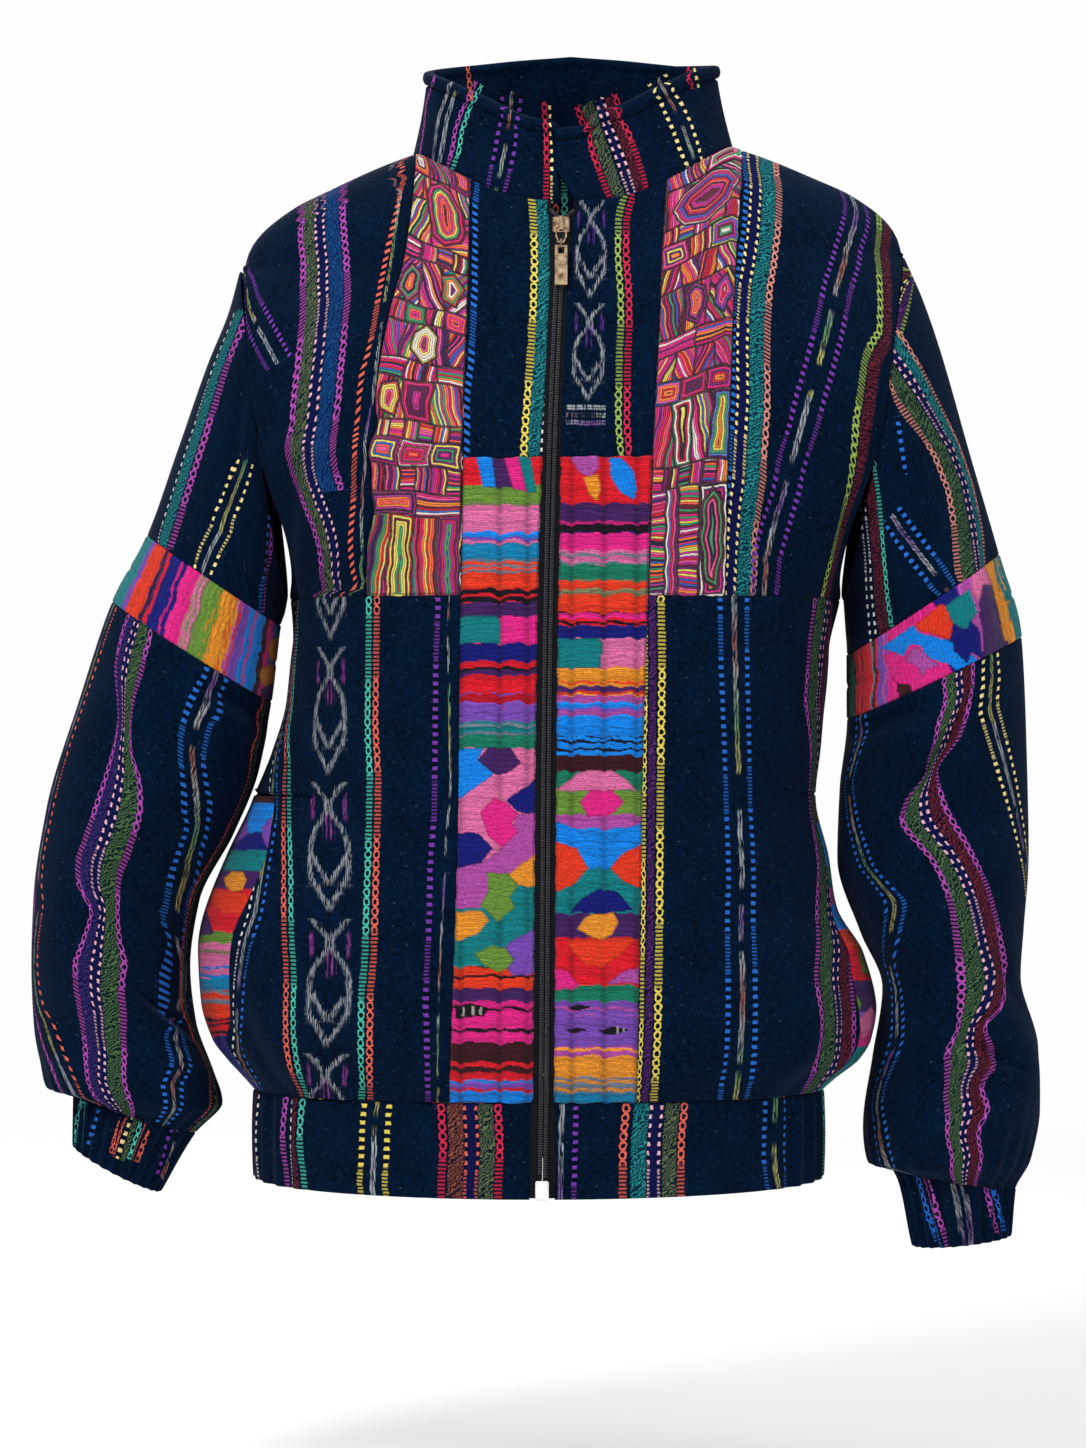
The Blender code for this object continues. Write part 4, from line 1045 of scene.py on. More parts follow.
# Two long panels of silk embroidery run from the shoulders to the yoke seam. Rows of satin cord lie side
# by side over the whole panel: in rings inside rounded leaves and slots, or as straight cords, bars and
# chevrons in the cells between them. A row gives its top and foot in millimetres down the panel, where
# its cells divide at the top and at the foot, and each cell's cords: rings, or their angle.
CORD_WIDTH = 1.35
RIGHT_ROWS = [
    (-2, 16, (0, 0.34, 0.7, 1), (0, 0.3, 0.66, 1), ("rings", 80, "rings")),
    (16, 34, (0, 0.22, 1), (0, 0.18, 1), (60, 100)),
    (34, 62, (0, 0.3, 1), (0, 0.42, 1), (70, 20)),
    (62, 74, (0, 0.25, 0.5, 0.75, 1), (0, 0.25, 0.5, 0.75, 1), (0, 90, 0, 90)),
    (74, 104, (0, 0.3, 0.62, 1), (0, 0.36, 0.7, 1), (55, 125, 50)),
    (104, 116, (0, 0.2, 0.45, 0.7, 1), (0, 0.24, 0.5, 0.74, 1), (90, "rings", 90, "rings")),
    (116, 140, (0, 0.26, 0.5, 0.76, 1), (0, 0.2, 0.52, 0.8, 1), (110, 75, 100, 65)),
    (140, 152, (0, 0.34, 0.66, 1), (0, 0.3, 0.7, 1), (0, 90, 0)),
    (152, 178, (0, 0.3, 0.66, 1), (0, 0.34, 0.62, 1), (75, "rings", 105)),
    (
        178, 190, (0, 0.17, 0.34, 0.5, 0.67, 0.84, 1), (0, 0.17, 0.34, 0.5, 0.67, 0.84, 1),
        (90, 0, 90, 0, 90, 0),
    ),
    (190, 206, (0, 0.34, 0.68, 1), (0, 0.32, 0.66, 1), ("rings", "rings", "rings")),
    (
        206, 222, (0, 0.16, 0.33, 0.5, 0.66, 0.83, 1), (0, 0.16, 0.33, 0.5, 0.66, 0.83, 1),
        (90, 90, 0, 90, 90, 0),
    ),
    (222, 236, (0, 0.5, 1), (0, 0.5, 1), ("rings", 0)),
    (236, 292, (0, 0.24, 0.5, 0.76, 1), (0, 0.22, 0.5, 0.78, 1), (84, "rings", 96, "rings")),
]
RIGHT_FORMS = [
    [
        (0.26, 30), (0.34, 22), (0.5, 17), (0.7, 20), (0.86, 30), (0.93, 44), (0.86, 54), (0.62, 60),
        (0.4, 54),
    ],
    [(0.05, 86), (0.16, 78), (0.3, 84), (0.34, 96), (0.2, 104), (0.06, 98)],
    [(0.6, 80), (0.8, 76), (0.94, 86), (0.84, 100), (0.66, 96)],
    [(0.36, 122), (0.5, 116), (0.64, 122), (0.66, 134), (0.5, 141), (0.35, 134)],
    [(0.06, 158), (0.24, 154), (0.3, 164), (0.22, 176), (0.06, 172)],
]
LEFT_ROWS = [
    (-2, 14, (0, 0.4, 1), (0, 0.46, 1), (100, "rings")),
    (14, 44, (0, 0.24, 1), (0, 0.36, 1), (95, 150)),
    (44, 56, (0, 0.2, 0.4, 0.6, 0.8, 1), (0, 0.2, 0.4, 0.6, 0.8, 1), (90, 0, 90, 0, 90)),
    (56, 72, (0, 0.32, 0.66, 1), (0, 0.36, 0.64, 1), ("rings", 85, "rings")),
    (72, 90, (0, 0.25, 0.5, 0.75, 1), (0, 0.28, 0.48, 0.72, 1), (70, 110, 70, 110)),
    (90, 122, (0, 0.34, 0.68, 1), (0, 0.26, 0.6, 1), (100, 80, 120)),
    (122, 134, (0, 0.5, 1), (0, 0.5, 1), (0, 0)),
    (134, 152, (0, 0.26, 0.5, 0.74, 1), (0, 0.22, 0.5, 0.78, 1), (60, 120, 60, 120)),
    (152, 166, (0, 0.33, 0.66, 1), (0, 0.33, 0.66, 1), ("rings", "rings", "rings")),
    (166, 208, (0, 0.22, 0.5, 0.78, 1), (0, 0.3, 0.5, 0.7, 1), (78, "rings", 100, "rings")),
    (
        208, 222, (0, 0.16, 0.34, 0.5, 0.66, 0.84, 1), (0, 0.16, 0.34, 0.5, 0.66, 0.84, 1),
        (0, 90, 0, 90, 0, 90),
    ),
    (222, 292, (0, 0.2, 0.36, 0.62, 1), (0, 0.2, 0.36, 0.62, 1), (0, 90, 0, "rings")),
]
LEFT_FORMS = [
    [(0.1, 30), (0.24, 20), (0.56, 15), (0.84, 20), (0.96, 30), (0.86, 44), (0.56, 50), (0.26, 46)],
    [(0.34, 96), (0.46, 90), (0.6, 95), (0.62, 110), (0.5, 120), (0.36, 112)],
    [(0.74, 100), (0.9, 94), (0.97, 106), (0.86, 118), (0.74, 112)],
    [(0.66, 232), (0.8, 224), (0.93, 234), (0.95, 262), (0.86, 286), (0.7, 280), (0.63, 256)],
]


def outline_distances(x, y, outline):
    """Whether each point is inside an outline, and how far it is from its edge."""
    inside = np.zeros(x.shape, bool)
    nearest = np.full(x.shape, 99.0)
    for (x0, y0), (x1, y1) in zip(outline, outline[1:] + outline[:1]):
        crosses = (y0 > y) != (y1 > y)
        inside ^= crosses & (x < (x1 - x0) * (y - y0) / (y1 - y0 + 1e-9) + x0)
        length = (x1 - x0) ** 2 + (y1 - y0) ** 2 + 1e-9
        share = np.clip(((x - x0) * (x1 - x0) + (y - y0) * (y1 - y0)) / length, 0, 1)
        nearest = np.minimum(nearest, np.hypot(x - x0 - share * (x1 - x0), y - y0 - share * (y1 - y0)))
    return inside, nearest


def lay_cords(laid, rows, forms):
    """For each point: how far across the cords it lies, how near its cell's edge, and the cell's number."""
    _, _, across, down = laid
    share = across / across[:, -1:]
    middle = down.shape[1] // 2
    y = down[:, middle][:, None] + 0 * across
    y = y + 0.8 * np.sin(share * 9.0 + y * 0.13)
    width = np.interp(y, down[:, middle], across[:, -1])
    x = share * width + 0.5 * np.sin(y * 0.35)
    across_cords = x * 1.0
    to_edge = np.full(x.shape, 9.0)
    number = np.zeros(x.shape)
    cells = []
    for top, foot, at_top, at_foot, kinds in rows:
        top_width, foot_width = (float(np.interp(at, down[:, middle], across[:, -1])) for at in (top, foot))
        for k, kind in enumerate(kinds):
            left = (at_top[k] * top_width, top), (at_foot[k] * foot_width, foot)
            right = (at_top[k + 1] * top_width, top), (at_foot[k + 1] * foot_width, foot)
            cells.append(([left[0], right[0], right[1], left[1]], kind))
    for form in forms:
        widths = {t: float(np.interp(t, down[:, middle], across[:, -1])) for _, t in form}
        cells.append(([(s * widths[t], t) for s, t in form], "rings"))
    for count, (outline, kind) in enumerate(cells):
        inside, nearest = outline_distances(x, y, outline)
        if kind == "rings":
            cords = nearest
        else:
            cords = x * sin(radians(kind)) + y * cos(radians(kind)) + 200.0
        across_cords = np.where(inside, cords, across_cords)
        to_edge = np.where(inside, nearest, np.minimum(to_edge, nearest))
        number = np.where(inside, count * 0.37 + 1.0, number)
    return across_cords, to_edge, number


silk, tree, shader = begin_material("silk_embroidery")
cords, edge, cell = (read_layer(tree, layer) for layer in ("cords", "edge", "cell"))
across, along = read_weave(tree)
satin = noise(tree, across, along, 1300.0, 1300.0)
uneven = (noise(tree, across, along, 260.0, 260.0) - 0.5) * 0.7
place = (cords + uneven) / CORD_WIDTH
turn_number = place.math("FLOOR")
round_cord = (place - turn_number - 0.5) * 2.0
cord_rise = (round_cord * round_cord * -1.0 + 1.0).math("SQRT")
pick = ((turn_number * 12.99 + cell.math("FLOOR") * 7.23 + cell * 31.7).math("SINE") * 437.5).math("FRACT")
SILKS = [
    (0.0, yarn(214, 28, 122)),
    (0.13, yarn(88, 20, 96)),
    (0.22, yarn(226, 84, 142)),
    (0.29, yarn(30, 18, 54)),
    (0.37, yarn(236, 130, 48)),
    (0.44, yarn(190, 20, 54)),
    (0.53, yarn(52, 146, 96)),
    (0.61, yarn(178, 38, 142)),
    (0.69, yarn(94, 14, 44)),
    (0.76, yarn(222, 206, 92)),
    (0.84, yarn(230, 220, 210)),
    (0.9, yarn(42, 90, 176)),
    (0.94, yarn(236, 84, 66)),
]
# Each cord is painted lighter along its crown and darker toward the grooves beside it: painted shade of the
# round cords, mixed with uneven satin.
tone = (satin * 0.5 + cord_rise * 0.7).ramp(0.3, 1.05)
stitched = shade(tree, tone, dye_ramp(tree, pick, SILKS, "CONSTANT"), 0.1, 1.05)
outline = edge.ramp(0.3, 1.0)
connect(tree, blend_colour(tree, outline, yarn(30, 10, 36), stitched), shader.inputs["Base Color"])
raise_relief(tree, cord_rise * outline + satin * 0.3, 0.9, 0.0009)
set_finish(shader, roughness=0.5, specular=0.28, sheen=0.1, sheen_roughness=0.35)

EMBROIDERED = [
    (
        "embroidered_panel_right",
        RIGHT_ROWS, RIGHT_FORMS,
        lambda h: embroidery_edge(h, 0),
        lambda h: inside_edge(h, 1, 0),
    ),
    (
        "embroidered_panel_left",
        LEFT_ROWS, LEFT_FORMS,
        lambda h: inside_edge(h, 2, 1),
        lambda h: embroidery_edge(h, 3),
    ),
]
for node, rows, forms, edge_a, edge_b in EMBROIDERED:
    grid = front_points(steps(45, 0.72), steps(290, 0.75), edge_a, edge_b, None, YOKE_SEAM)
    cords, edge, cell = lay_cords(lay_cloth(grid), rows, forms)
    relief = 0.7 * np.clip(edge / 1.2, 0, 1) - 0.35 + 0.12 * np.sin(2 * pi * cords / CORD_WIDTH)
    laid = lay_cloth(grid, relief=relief)
    layers = {"cords": cords, "edge": edge, "cell": cell}
    sew_cloth(node, laid, silk, "embroidered_cloth", "hung", thickness=0, layers=layers)

# Two strips of brocade beside the zip: thick bright weft beaten over a dark warp, in blocks, in thin
# alternating lines and in figures with zigzag edges. Rows of stitching pucker the strips from top to
# foot. Each chart gives the line of the view where a block starts and its yarns; shapes lie over it.
DYES = {
    "red": yarn(224, 22, 42),
    "deep_red": yarn(190, 10, 34),
    "scarlet": yarn(234, 58, 30),
    "sky": yarn(8, 134, 236),
    "royal": yarn(10, 20, 118),
    "cyan": yarn(10, 132, 182),
    "teal": yarn(4, 126, 132),
    "emerald": yarn(16, 122, 96),
    "green": yarn(108, 148, 58),
    "olive": yarn(128, 128, 92),
    "amber": yarn(238, 150, 44),
    "pale_pink": yarn(226, 112, 166),
    "hot_pink": yarn(232, 36, 138),
    "orchid": yarn(180, 78, 168),
    "lavender": yarn(124, 76, 182),
    "purple": yarn(66, 30, 96),
    "maroon": yarn(58, 16, 24),
    "slate": yarn(110, 124, 142),
    "dark": yarn(20, 10, 26),
    "cream": yarn(225, 215, 190),
}
WEFT_LINES = 2.7
PUCKERS = [460.5, 499.5, 527.5, 571.6, 604.0, 636.7]


def pucker_share(column):
    """How close each point is to a row of stitching, from nought to one."""
    return sum(np.exp(-(((column - pucker) / 3.4) ** 2)) for pucker in PUCKERS)


def weft_colours(thread, yarns):
    """Colours of a block's threads: its yarns by turns, each thread a little lighter or darker."""
    pick = (thread * 5 + thread // 3 + thread // 7) % len(yarns)
    tone = 1 + 0.13 * np.sin(thread * 2.4) + 0.08 * np.sin(thread * 5.3)
    return np.array([DYES[name] for name in yarns])[pick.astype(int)] * tone[..., None]


def weft_rows(laid, rows):
    """Paints blocks that lie below each other, by the line of the view where each starts."""
    column, line = in_view(laid[0])
    line = line - 2.4 * pucker_share(column) + 0.7 * np.sin(column * 0.23 + line * 0.11)
    thread = np.floor(line / WEFT_LINES + 0.3 * np.sin(column * 0.13 + line * 0.31))
    colours = np.zeros((*line.shape, 3))
    for start, *yarns in rows:
        colours = np.where((line >= start)[..., None], weft_colours(thread, yarns), colours)
    # Along the rows of stitching the colours are darkened: painted shade in the puckered dips.
    return colours * (1 - 0.35 * np.clip(pucker_share(column), 0, 1))[..., None]


def paint_shapes(laid, colours, shapes):
    """Lays flat shapes over the blocks, each a list of points of the view with a yarn."""
    column, line = in_view(laid[0])
    line = line - 1.5 * pucker_share(column)
    faces_front = laid[1][..., 1] < 0.1
    thread = np.floor(line / WEFT_LINES)
    for name, outline in shapes:
        inside, nearest = outline_distances(column, line, outline)
        dye = np.array(DYES[name]) * (1 + 0.09 * np.sin(thread * 3.1))[..., None]
        dye = dye * (0.45 + 0.55 * np.clip(nearest / 1.6, 0, 1))[..., None]
        colours = np.where((inside & faces_front)[..., None], dye, colours)
    return colours


def ribbed_cloth(name, upright):
    """Brocade: thick threads side by side with dark gaps, over the colours painted on the piece."""
    material, tree, shader = begin_material(name)
    across, along = read_weave(tree)
    if upright:
        across, along = along, across
    drift = (noise(tree, across, along, 70.0, 420.0) - 0.5) * 0.0016
    gap = (along + drift).wave(0.00115).ramp(0.55, 1.0)
    rib = noise(tree, across, along, 420.0, 2100.0)
    twist = noise(tree, across, along, 1500.0, 900.0)
    tone = (rib * 0.8 + twist * 0.8 + gap * -0.45).ramp(0.15, 1.2)
    thread = shade(tree, tone, read_layer(tree, "dye", "Color"), 0.26, 1.25)
    connect(tree, thread, shader.inputs["Base Color"])
    set_finish(shader, roughness=0.72, specular=0.12, sheen=0.08, sheen_roughness=0.4)
    raise_relief(tree, rib * 0.7 + twist * 0.3 - gap * 0.6, 0.8, 0.0007)
    return material


brocade = ribbed_cloth("brocade", False)
brocade_upright = ribbed_cloth("brocade_upright", True)
STRIP_RIGHT_ROWS = [
    (440, "red"), (485, "green"), (503, "pale_pink", "olive", "pale_pink"), (515, "pale_pink"),
    (528, "lavender", "sky", "pale_pink"), (543, "cyan"), (559, "scarlet", "slate"), (574, "scarlet"),
    (588, "red", "dark"), (602, "purple"), (616, "hot_pink"), (643, "royal"),
    (661, "red", "purple", "dark"), (676, "red"), (693, "deep_red", "lavender"), (707, "lavender"),
    (721, "teal", "slate"), (735, "emerald"), (748, "pale_pink"), (868, "orchid"), (880, "teal"),
    (966, "scarlet", "scarlet", "dark"), (988, "purple"), (1001, "hot_pink", "hot_pink", "dark"),
    (1016, "hot_pink"), (1028, "hot_pink", "dark", "hot_pink"), (1043, "maroon"),
    (1062, "red", "red", "maroon"), (1078, "sky", "red", "lavender"), (1095, "sky"),
]
STRIP_RIGHT_SHAPES = [
    ("sky", [(474, 448), (491, 448), (496, 487), (483, 487)]),
    ("purple", [(491, 448), (501, 448), (513, 487), (496, 487)]),
    ("hot_pink", [(501, 448), (516, 448), (527, 491), (513, 489)]),
    ("teal", [(516, 448), (529, 448), (537, 493), (527, 491)]),
    ("teal", [(455, 616), (500, 616), (501, 643), (455, 643)]),
    ("sky", [(455, 748), (484, 748), (478, 760), (494, 774), (478, 786), (462, 797), (455, 797)]),
    ("purple", [(488, 747), (510, 747), (521, 763), (508, 773), (494, 774), (478, 760)]),
    ("royal", [(545, 772), (527, 785), (506, 800), (517, 812), (545, 813)]),
    (
        "orchid",
        [(545, 812), (518, 814), (503, 847), (481, 863), (455, 866), (455, 908), (480, 908), (545, 852)],
    ),
    (
        "hot_pink",
        [(495, 797), (506, 802), (518, 814), (512, 823), (518, 832), (503, 847), (488, 836), (480, 812)],
    ),
    ("royal", [(455, 832), (478, 833), (493, 848), (481, 863), (455, 868)]),
    ("amber", [(545, 847), (523, 862), (508, 875), (518, 885), (545, 887)]),
    (
        "green",
        [(487, 872), (508, 873), (518, 886), (510, 897), (515, 908), (497, 921), (480, 905), (488, 892)],
    ),
    ("amber", [(455, 911), (482, 911), (489, 920), (478, 934), (455, 941)]),
    ("green", [(492, 945), (505, 947), (514, 960), (508, 969), (495, 971), (483, 965), (474, 954)]),
    ("lavender", [(545, 922), (510, 942), (505, 947), (514, 960), (507, 968), (512, 976), (545, 972)]),
    ("dark", [(455, 1005), (470, 1003), (490, 1008), (484, 1016), (455, 1018)]),
    ("cream", [(463, 1006), (465, 1006), (464, 1015), (462, 1015)]),
    ("cream", [(472, 1006), (474, 1006), (474, 1015), (472, 1015)]),
    ("cream", [(480, 1007), (482, 1007), (481, 1015), (479, 1014)]),
]
STRIP_LEFT_ROWS = [
    (440, "red"), (503, "purple"), (518, "hot_pink", "purple", "dark"), (533, "hot_pink"),
    (550, "slate", "pale_pink"), (564, "emerald"), (579, "scarlet", "olive"), (595, "scarlet"),
    (612, "hot_pink", "dark", "red"), (625, "royal"), (638, "pale_pink"), (667, "amber"),
    (681, "scarlet", "purple", "amber"), (695, "lavender", "sky", "orchid"), (719, "sky"),
    (736, "dark", "sky"), (755, "maroon"), (771, "emerald"), (790, "green"), (814, "orchid"),
    (828, "sky"), (868, "teal"), (913, "purple"), (937, "red"), (985, "emerald"),
    (1001, "orchid", "lavender"), (1016, "lavender"), (1046, "amber", "orchid"), (1057, "amber"),
    (1076, "amber", "slate"), (1093, "cyan"),
]
STRIP_LEFT_SHAPES = [
    ("orchid", [(570, 455), (598, 455), (599, 468), (590, 477), (579, 473)]),
    ("amber", [(583, 477), (598, 474), (601, 488), (597, 502), (589, 494)]),
    ("sky", [(609, 458), (622, 458), (634, 471), (637, 487), (634, 500), (620, 492), (611, 478)]),
    ("teal", [(555, 638), (600, 638), (603, 644), (600, 668), (555, 668)]),
    ("pale_pink", [(555, 791), (577, 773), (590, 770), (612, 770), (626, 779), (637, 790)]),
    ("hot_pink", [(590, 790), (612, 790), (624, 802), (613, 814), (588, 817), (580, 802)]),
    (
        "sky",
        [(550, 820), (575, 827), (590, 842), (612, 839), (622, 830), (650, 818), (650, 842), (550, 842)],
    ),
    ("scarlet", [(550, 840), (576, 847), (588, 868), (576, 882), (550, 896)]),
    ("scarlet", [(650, 839), (622, 854), (610, 868), (624, 882), (650, 890)]),
    ("royal", [(600, 888), (618, 892), (633, 910), (600, 914), (570, 911), (582, 898)]),
    ("amber", [(592, 914), (613, 912), (619, 922), (612, 935), (597, 940), (577, 929), (584, 918)]),
    ("scarlet", [(566, 939), (637, 938), (618, 957), (600, 967), (585, 965), (572, 950)]),
    ("hot_pink", [(550, 968), (568, 970), (580, 987), (550, 991)]),
    ("orchid", [(650, 962), (622, 972), (606, 984), (650, 982)]),
    ("dark", [(566, 1006), (578, 1004), (592, 1007), (578, 1011)]),
    ("dark", [(564, 1029), (576, 1027), (588, 1030), (576, 1033)]),
    ("dark", [(597, 1030), (612, 1026), (630, 1030), (612, 1035)]),
    ("cream", [(617, 1027), (619, 1027), (619, 1034), (617, 1034)]),
    ("cream", [(623, 1028), (625, 1028), (625, 1032), (623, 1032)]),
]
STRIPS = [
    (
        "brocade_strip_right",
        STRIP_RIGHT_ROWS,
        STRIP_RIGHT_SHAPES,
        lambda h: strip_edge(h, 0),
        lambda h: zip_edge(h, -1),
    ),
    (
        "brocade_strip_left",
        STRIP_LEFT_ROWS,
        STRIP_LEFT_SHAPES,
        lambda h: zip_edge(h, 1),
        lambda h: strip_edge(h, 1),
    ),
]
for node, rows, shapes, edge_a, edge_b in STRIPS:
    grid = front_points(steps(50, 0.9), steps(397, 0.7), edge_a, edge_b, BROCADE_TOP, WAIST_SEAM)
    column, line = in_view(grid)
    ribs = 0.3 * np.sin(line / 0.86 + 2.0 * np.sin(column * 0.12 + line * 0.05))
    waves = 0.5 * np.sin(line * 0.21 + np.sin(column * 0.09) * 1.5)
    waves = waves * (1 - np.clip(pucker_share(column), 0, 1))
    laid = lay_cloth(grid, relief=ribs + waves - 0.9 * pucker_share(column))
    dyes = paint_shapes(laid, weft_rows(laid, rows), shapes)
    sew_cloth(node, laid, brocade, "brocade", "hung", thickness=0, layers={"dye": dyes})

FACING_RIGHT_ROWS = [
    (780, "maroon"), (803, "sky"), (832, "royal"), (850, "teal"), (868, "purple"), (888, "red"),
    (932, "green"), (943, "pale_pink", "olive"), (954, "pale_pink"), (966, "sky", "pale_pink"),
    (978, "cyan"), (990, "scarlet", "slate"), (1004, "scarlet"), (1018, "red", "dark"), (1036, "royal"),
]
FACING_RIGHT_SHAPES = [
    ("lavender", [(222, 826), (247, 812), (248, 834), (236, 843), (226, 842)]),
    ("lavender", [(262, 826), (275, 814), (278, 840), (268, 850), (262, 838)]),
    ("teal", [(220, 870), (228, 854), (240, 850), (256, 852), (262, 866), (262, 872)]),
    ("amber", [(224, 878), (232, 871), (243, 872), (247, 880), (243, 890), (232, 892), (225, 886)]),
    ("scarlet", [(208, 888), (226, 890), (246, 893), (251, 902), (240, 915), (222, 914), (212, 903)]),
    ("purple", [(198, 908), (207, 912), (214, 934), (198, 936)]),
    ("purple", [(250, 906), (239, 918), (232, 934), (250, 936)]),
]
FACING_LEFT_ROWS = [
    (780, "maroon"), (824, "sky"), (866, "emerald"), (888, "orchid"), (905, "sky"), (930, "scarlet"),
    (948, "red"), (980, "purple"), (1012, "lavender"), (1030, "hot_pink"), (1046, "teal"),
]
FACING_LEFT_SHAPES = [
    ("green", [(858, 948), (870, 955), (876, 980), (862, 972)]),
    ("green", [(854, 992), (862, 1003), (856, 1020), (852, 1008)]),
    ("pale_pink", [(858, 1020), (872, 1006), (878, 1020), (862, 1042)]),
]
FACING_CHARTS = {
    "pocket_facing_right": (FACING_RIGHT_ROWS, FACING_RIGHT_SHAPES),
    "pocket_facing_left": (FACING_LEFT_ROWS, FACING_LEFT_SHAPES),
}


def side_seam_turn(height):
    return mix(90.0, 93.0, smooth_step((ARMHOLE_FOOT - height) / 60))


LOWER_RIGHT_STRIPES = [
    (
        [
            ("dots", "white", -5.6, 2.0, 0.4), ("ikat", None, 0, 4.5, 0.2),
            ("dash", "blue", 6.0, 2.6, 0.45),
        ],
        [
            (276, 755), (268, 820), (262, 870), (255, 910), (245, 942), (239.4, 977), (236.6, 1017),
            (239.4, 1056), (250, 1098),
        ],
    ),
    (
        [("chain", "coral", -2.9, 4.4, 0.52), ("chain", "teal", 2.7, 4.4, 0.5)],
        [
            (296, 640), (293.6, 669), (288.8, 720), (287.2, 768), (286.4, 811), (287.2, 867),
            (287.6, 926), (290, 985), (290, 1037), (294, 1068), (303, 1092),
        ],
    ),
    (
        [("figure", "magenta", 0, 29, 84.0, 0.63)],
        [(330, 600), (329.5, 700), (328.7, 850), (329.5, 970), (326, 1090)],
    ),
    (
        [("chain", "teal", -2.9, 5.0, 0.42), ("chain", "coral", 2.9, 5.0, 0.44)],
        [
            (372.6, 598), (371.4, 709), (373.8, 788), (371.8, 867), (369.8, 946), (366, 997), (365, 1045),
            (366.3, 1096),
        ],
    ),
    (
        [("dash", "purple", 0, 3.8, 0.46)],
        [
            (438, 598), (435.8, 669), (435, 748), (434.3, 807), (430.3, 867), (429, 926), (426, 985),
            (427, 1045), (428, 1096),
        ],
    ),
    (
        [("ikat", None, 0, 1.8, 0.5)],
        [(448, 640), (449, 689), (450, 788), (446, 843), (443, 906), (439, 985), (438, 1090)],
    ),
]
LOWER_LEFT_STRIPES = [
    (
        [
            ("chain", "yellow", -4.4, 2.8, 0.3), ("twill", "violet", 0, 4.4),
            ("chain", "yellow", 5.6, 5.2, 0.5),
        ],
        [(652, 600), (653, 680), (652, 749), (651, 837), (650, 942), (648.8, 1022), (645, 1098)],
    ),
    (
        [
            ("dash", "blue", -9.8, 3.8, 0.5), ("ikat", None, 0, 5.0, 0.42),
            ("dash", "blue", 8.8, 3.8, 0.55),
        ],
        [
            (734.4, 600), (735, 660), (737.6, 741), (739.6, 813), (742, 881), (741.6, 942), (742.5, 1006),
            (740.4, 1054), (735.6, 1098),
        ],
    ),
    (
        [
            ("chain", "magenta", -10.0, 5.2, 0.5), ("twill", "moss", 0, 13.0),
            ("twill", "indigo", 11.0, 9.0), ("dots", "pinkish", 8.6, 1.8, 0.1),
            ("dots", "pinkish", 14.5, 1.8, 0.15), ("twill", "wine", 22.0, 11.0),
            ("chain", "magenta", 30.0, 5.0, 0.3),
        ],
        [
            (812, 700), (815, 760), (819, 800), (822.8, 861), (824.8, 922), (826, 982), (828.8, 1030),
            (824.8, 1070), (811, 1102),
        ],
    ),
]
LOWER_STRIPES = {"right": LOWER_RIGHT_STRIPES, "left": LOWER_LEFT_STRIPES}
for side_name, side, column in (("right", -1, 0), ("left", 1, 1)):
    down = steps(312, 2.6)[:, None]
    height = mix(YOKE_SEAM, WAIST_SEAM, down)
    inner = turn_at(strip_edge(height, column), height)
    pocket = read_table(POCKET_EDGES, height)[column]
    outer = mix(side * side_seam_turn(height), pocket, smooth_step((POCKET_TOP + 3 - height) / 4))
    share = steps(150, 2.6)[None, :]
    turn = mix(inner, outer, share) if side > 0 else mix(outer, inner, share)
    grid = body_points(turn, height + 0 * turn)
    node = f"lower_front_{side_name}"
    laid = lay_cloth(grid)
    if side < 0:
        laid[2][:] -= laid[2][:, -1:]
    laid[3][:] = laid[3][:, -1:] if side < 0 else laid[3][:, :1]
    sew_striped(node, laid, LOWER_STRIPES[side_name], "hung")

for node, side, column in (("pocket_facing_right", -1, 0), ("pocket_facing_left", 1, 1)):
    down = steps(188, 1.0)[:, None]
    height = mix(POCKET_TOP, WAIST_SEAM, down)
    front = read_table(POCKET_EDGES, height)[column]
    share = steps(70, 1.2)[None, :]
    seam = side * side_seam_turn(height)
    turn = mix(front, seam, share) if side > 0 else mix(seam, front, share)
    grid = body_points(turn, height + 0 * turn)
    laid = lay_cloth(grid)
    rows, shapes = FACING_CHARTS[node]
    dyes = paint_shapes(laid, weft_rows(laid, rows), shapes)
    sew_cloth(node, laid, brocade, "brocade", "hung", thickness=0, layers={"dye": dyes})

# The back is one piece of the same striped cloth from the neck and shoulder seams to the waistband.
across = 1 - 2 * steps(470, 3.2)[None, :]
outwards = np.abs(across)
side = np.where(across >= 0, 1.0, -1.0)
down = steps(300, 3.0)[:, None]
x = np.abs(armhole_edge(ARMHOLE_TOP + 0 * across, side)) * outwards
for _ in range(6):
    highest = top_height(x, behind=True)
    x = outwards * np.abs(armhole_edge(highest, side))
highest = highest - np.where(x < NECK_SIDE, 0.4, 0.0001)
height = mix(highest, ARMHOLE_FOOT, mix(down, 1 - np.cos(pi * down / 2), 0.85))
x = side * outwards * np.abs(armhole_edge(height, side))
upper_turn = turn_at(x, height, behind=True)
upper = body_points(upper_turn, height)
down = np.linspace(0, 1, 106)[1:, None]
height = mix(ARMHOLE_FOOT, WAIST_SEAM, down)
seam = side_seam_turn(height)
centre, half = read_table(BODY_RINGS, height)[:2]
by_x = np.abs(turn_at(centre + outwards * side * half, height + 0 * across, behind=True))
turn = mix(np.maximum(by_x, seam), mix(180.0, seam, outwards), smooth_step(2 * down))
lower = body_points(side * turn, height + 0 * turn)
laid = lay_cloth(np.concatenate([upper, lower]))
laid[2][:] -= np.array([[np.interp(2.0, -row[:, 0], reach)] for row, reach in zip(laid[0], laid[2])])
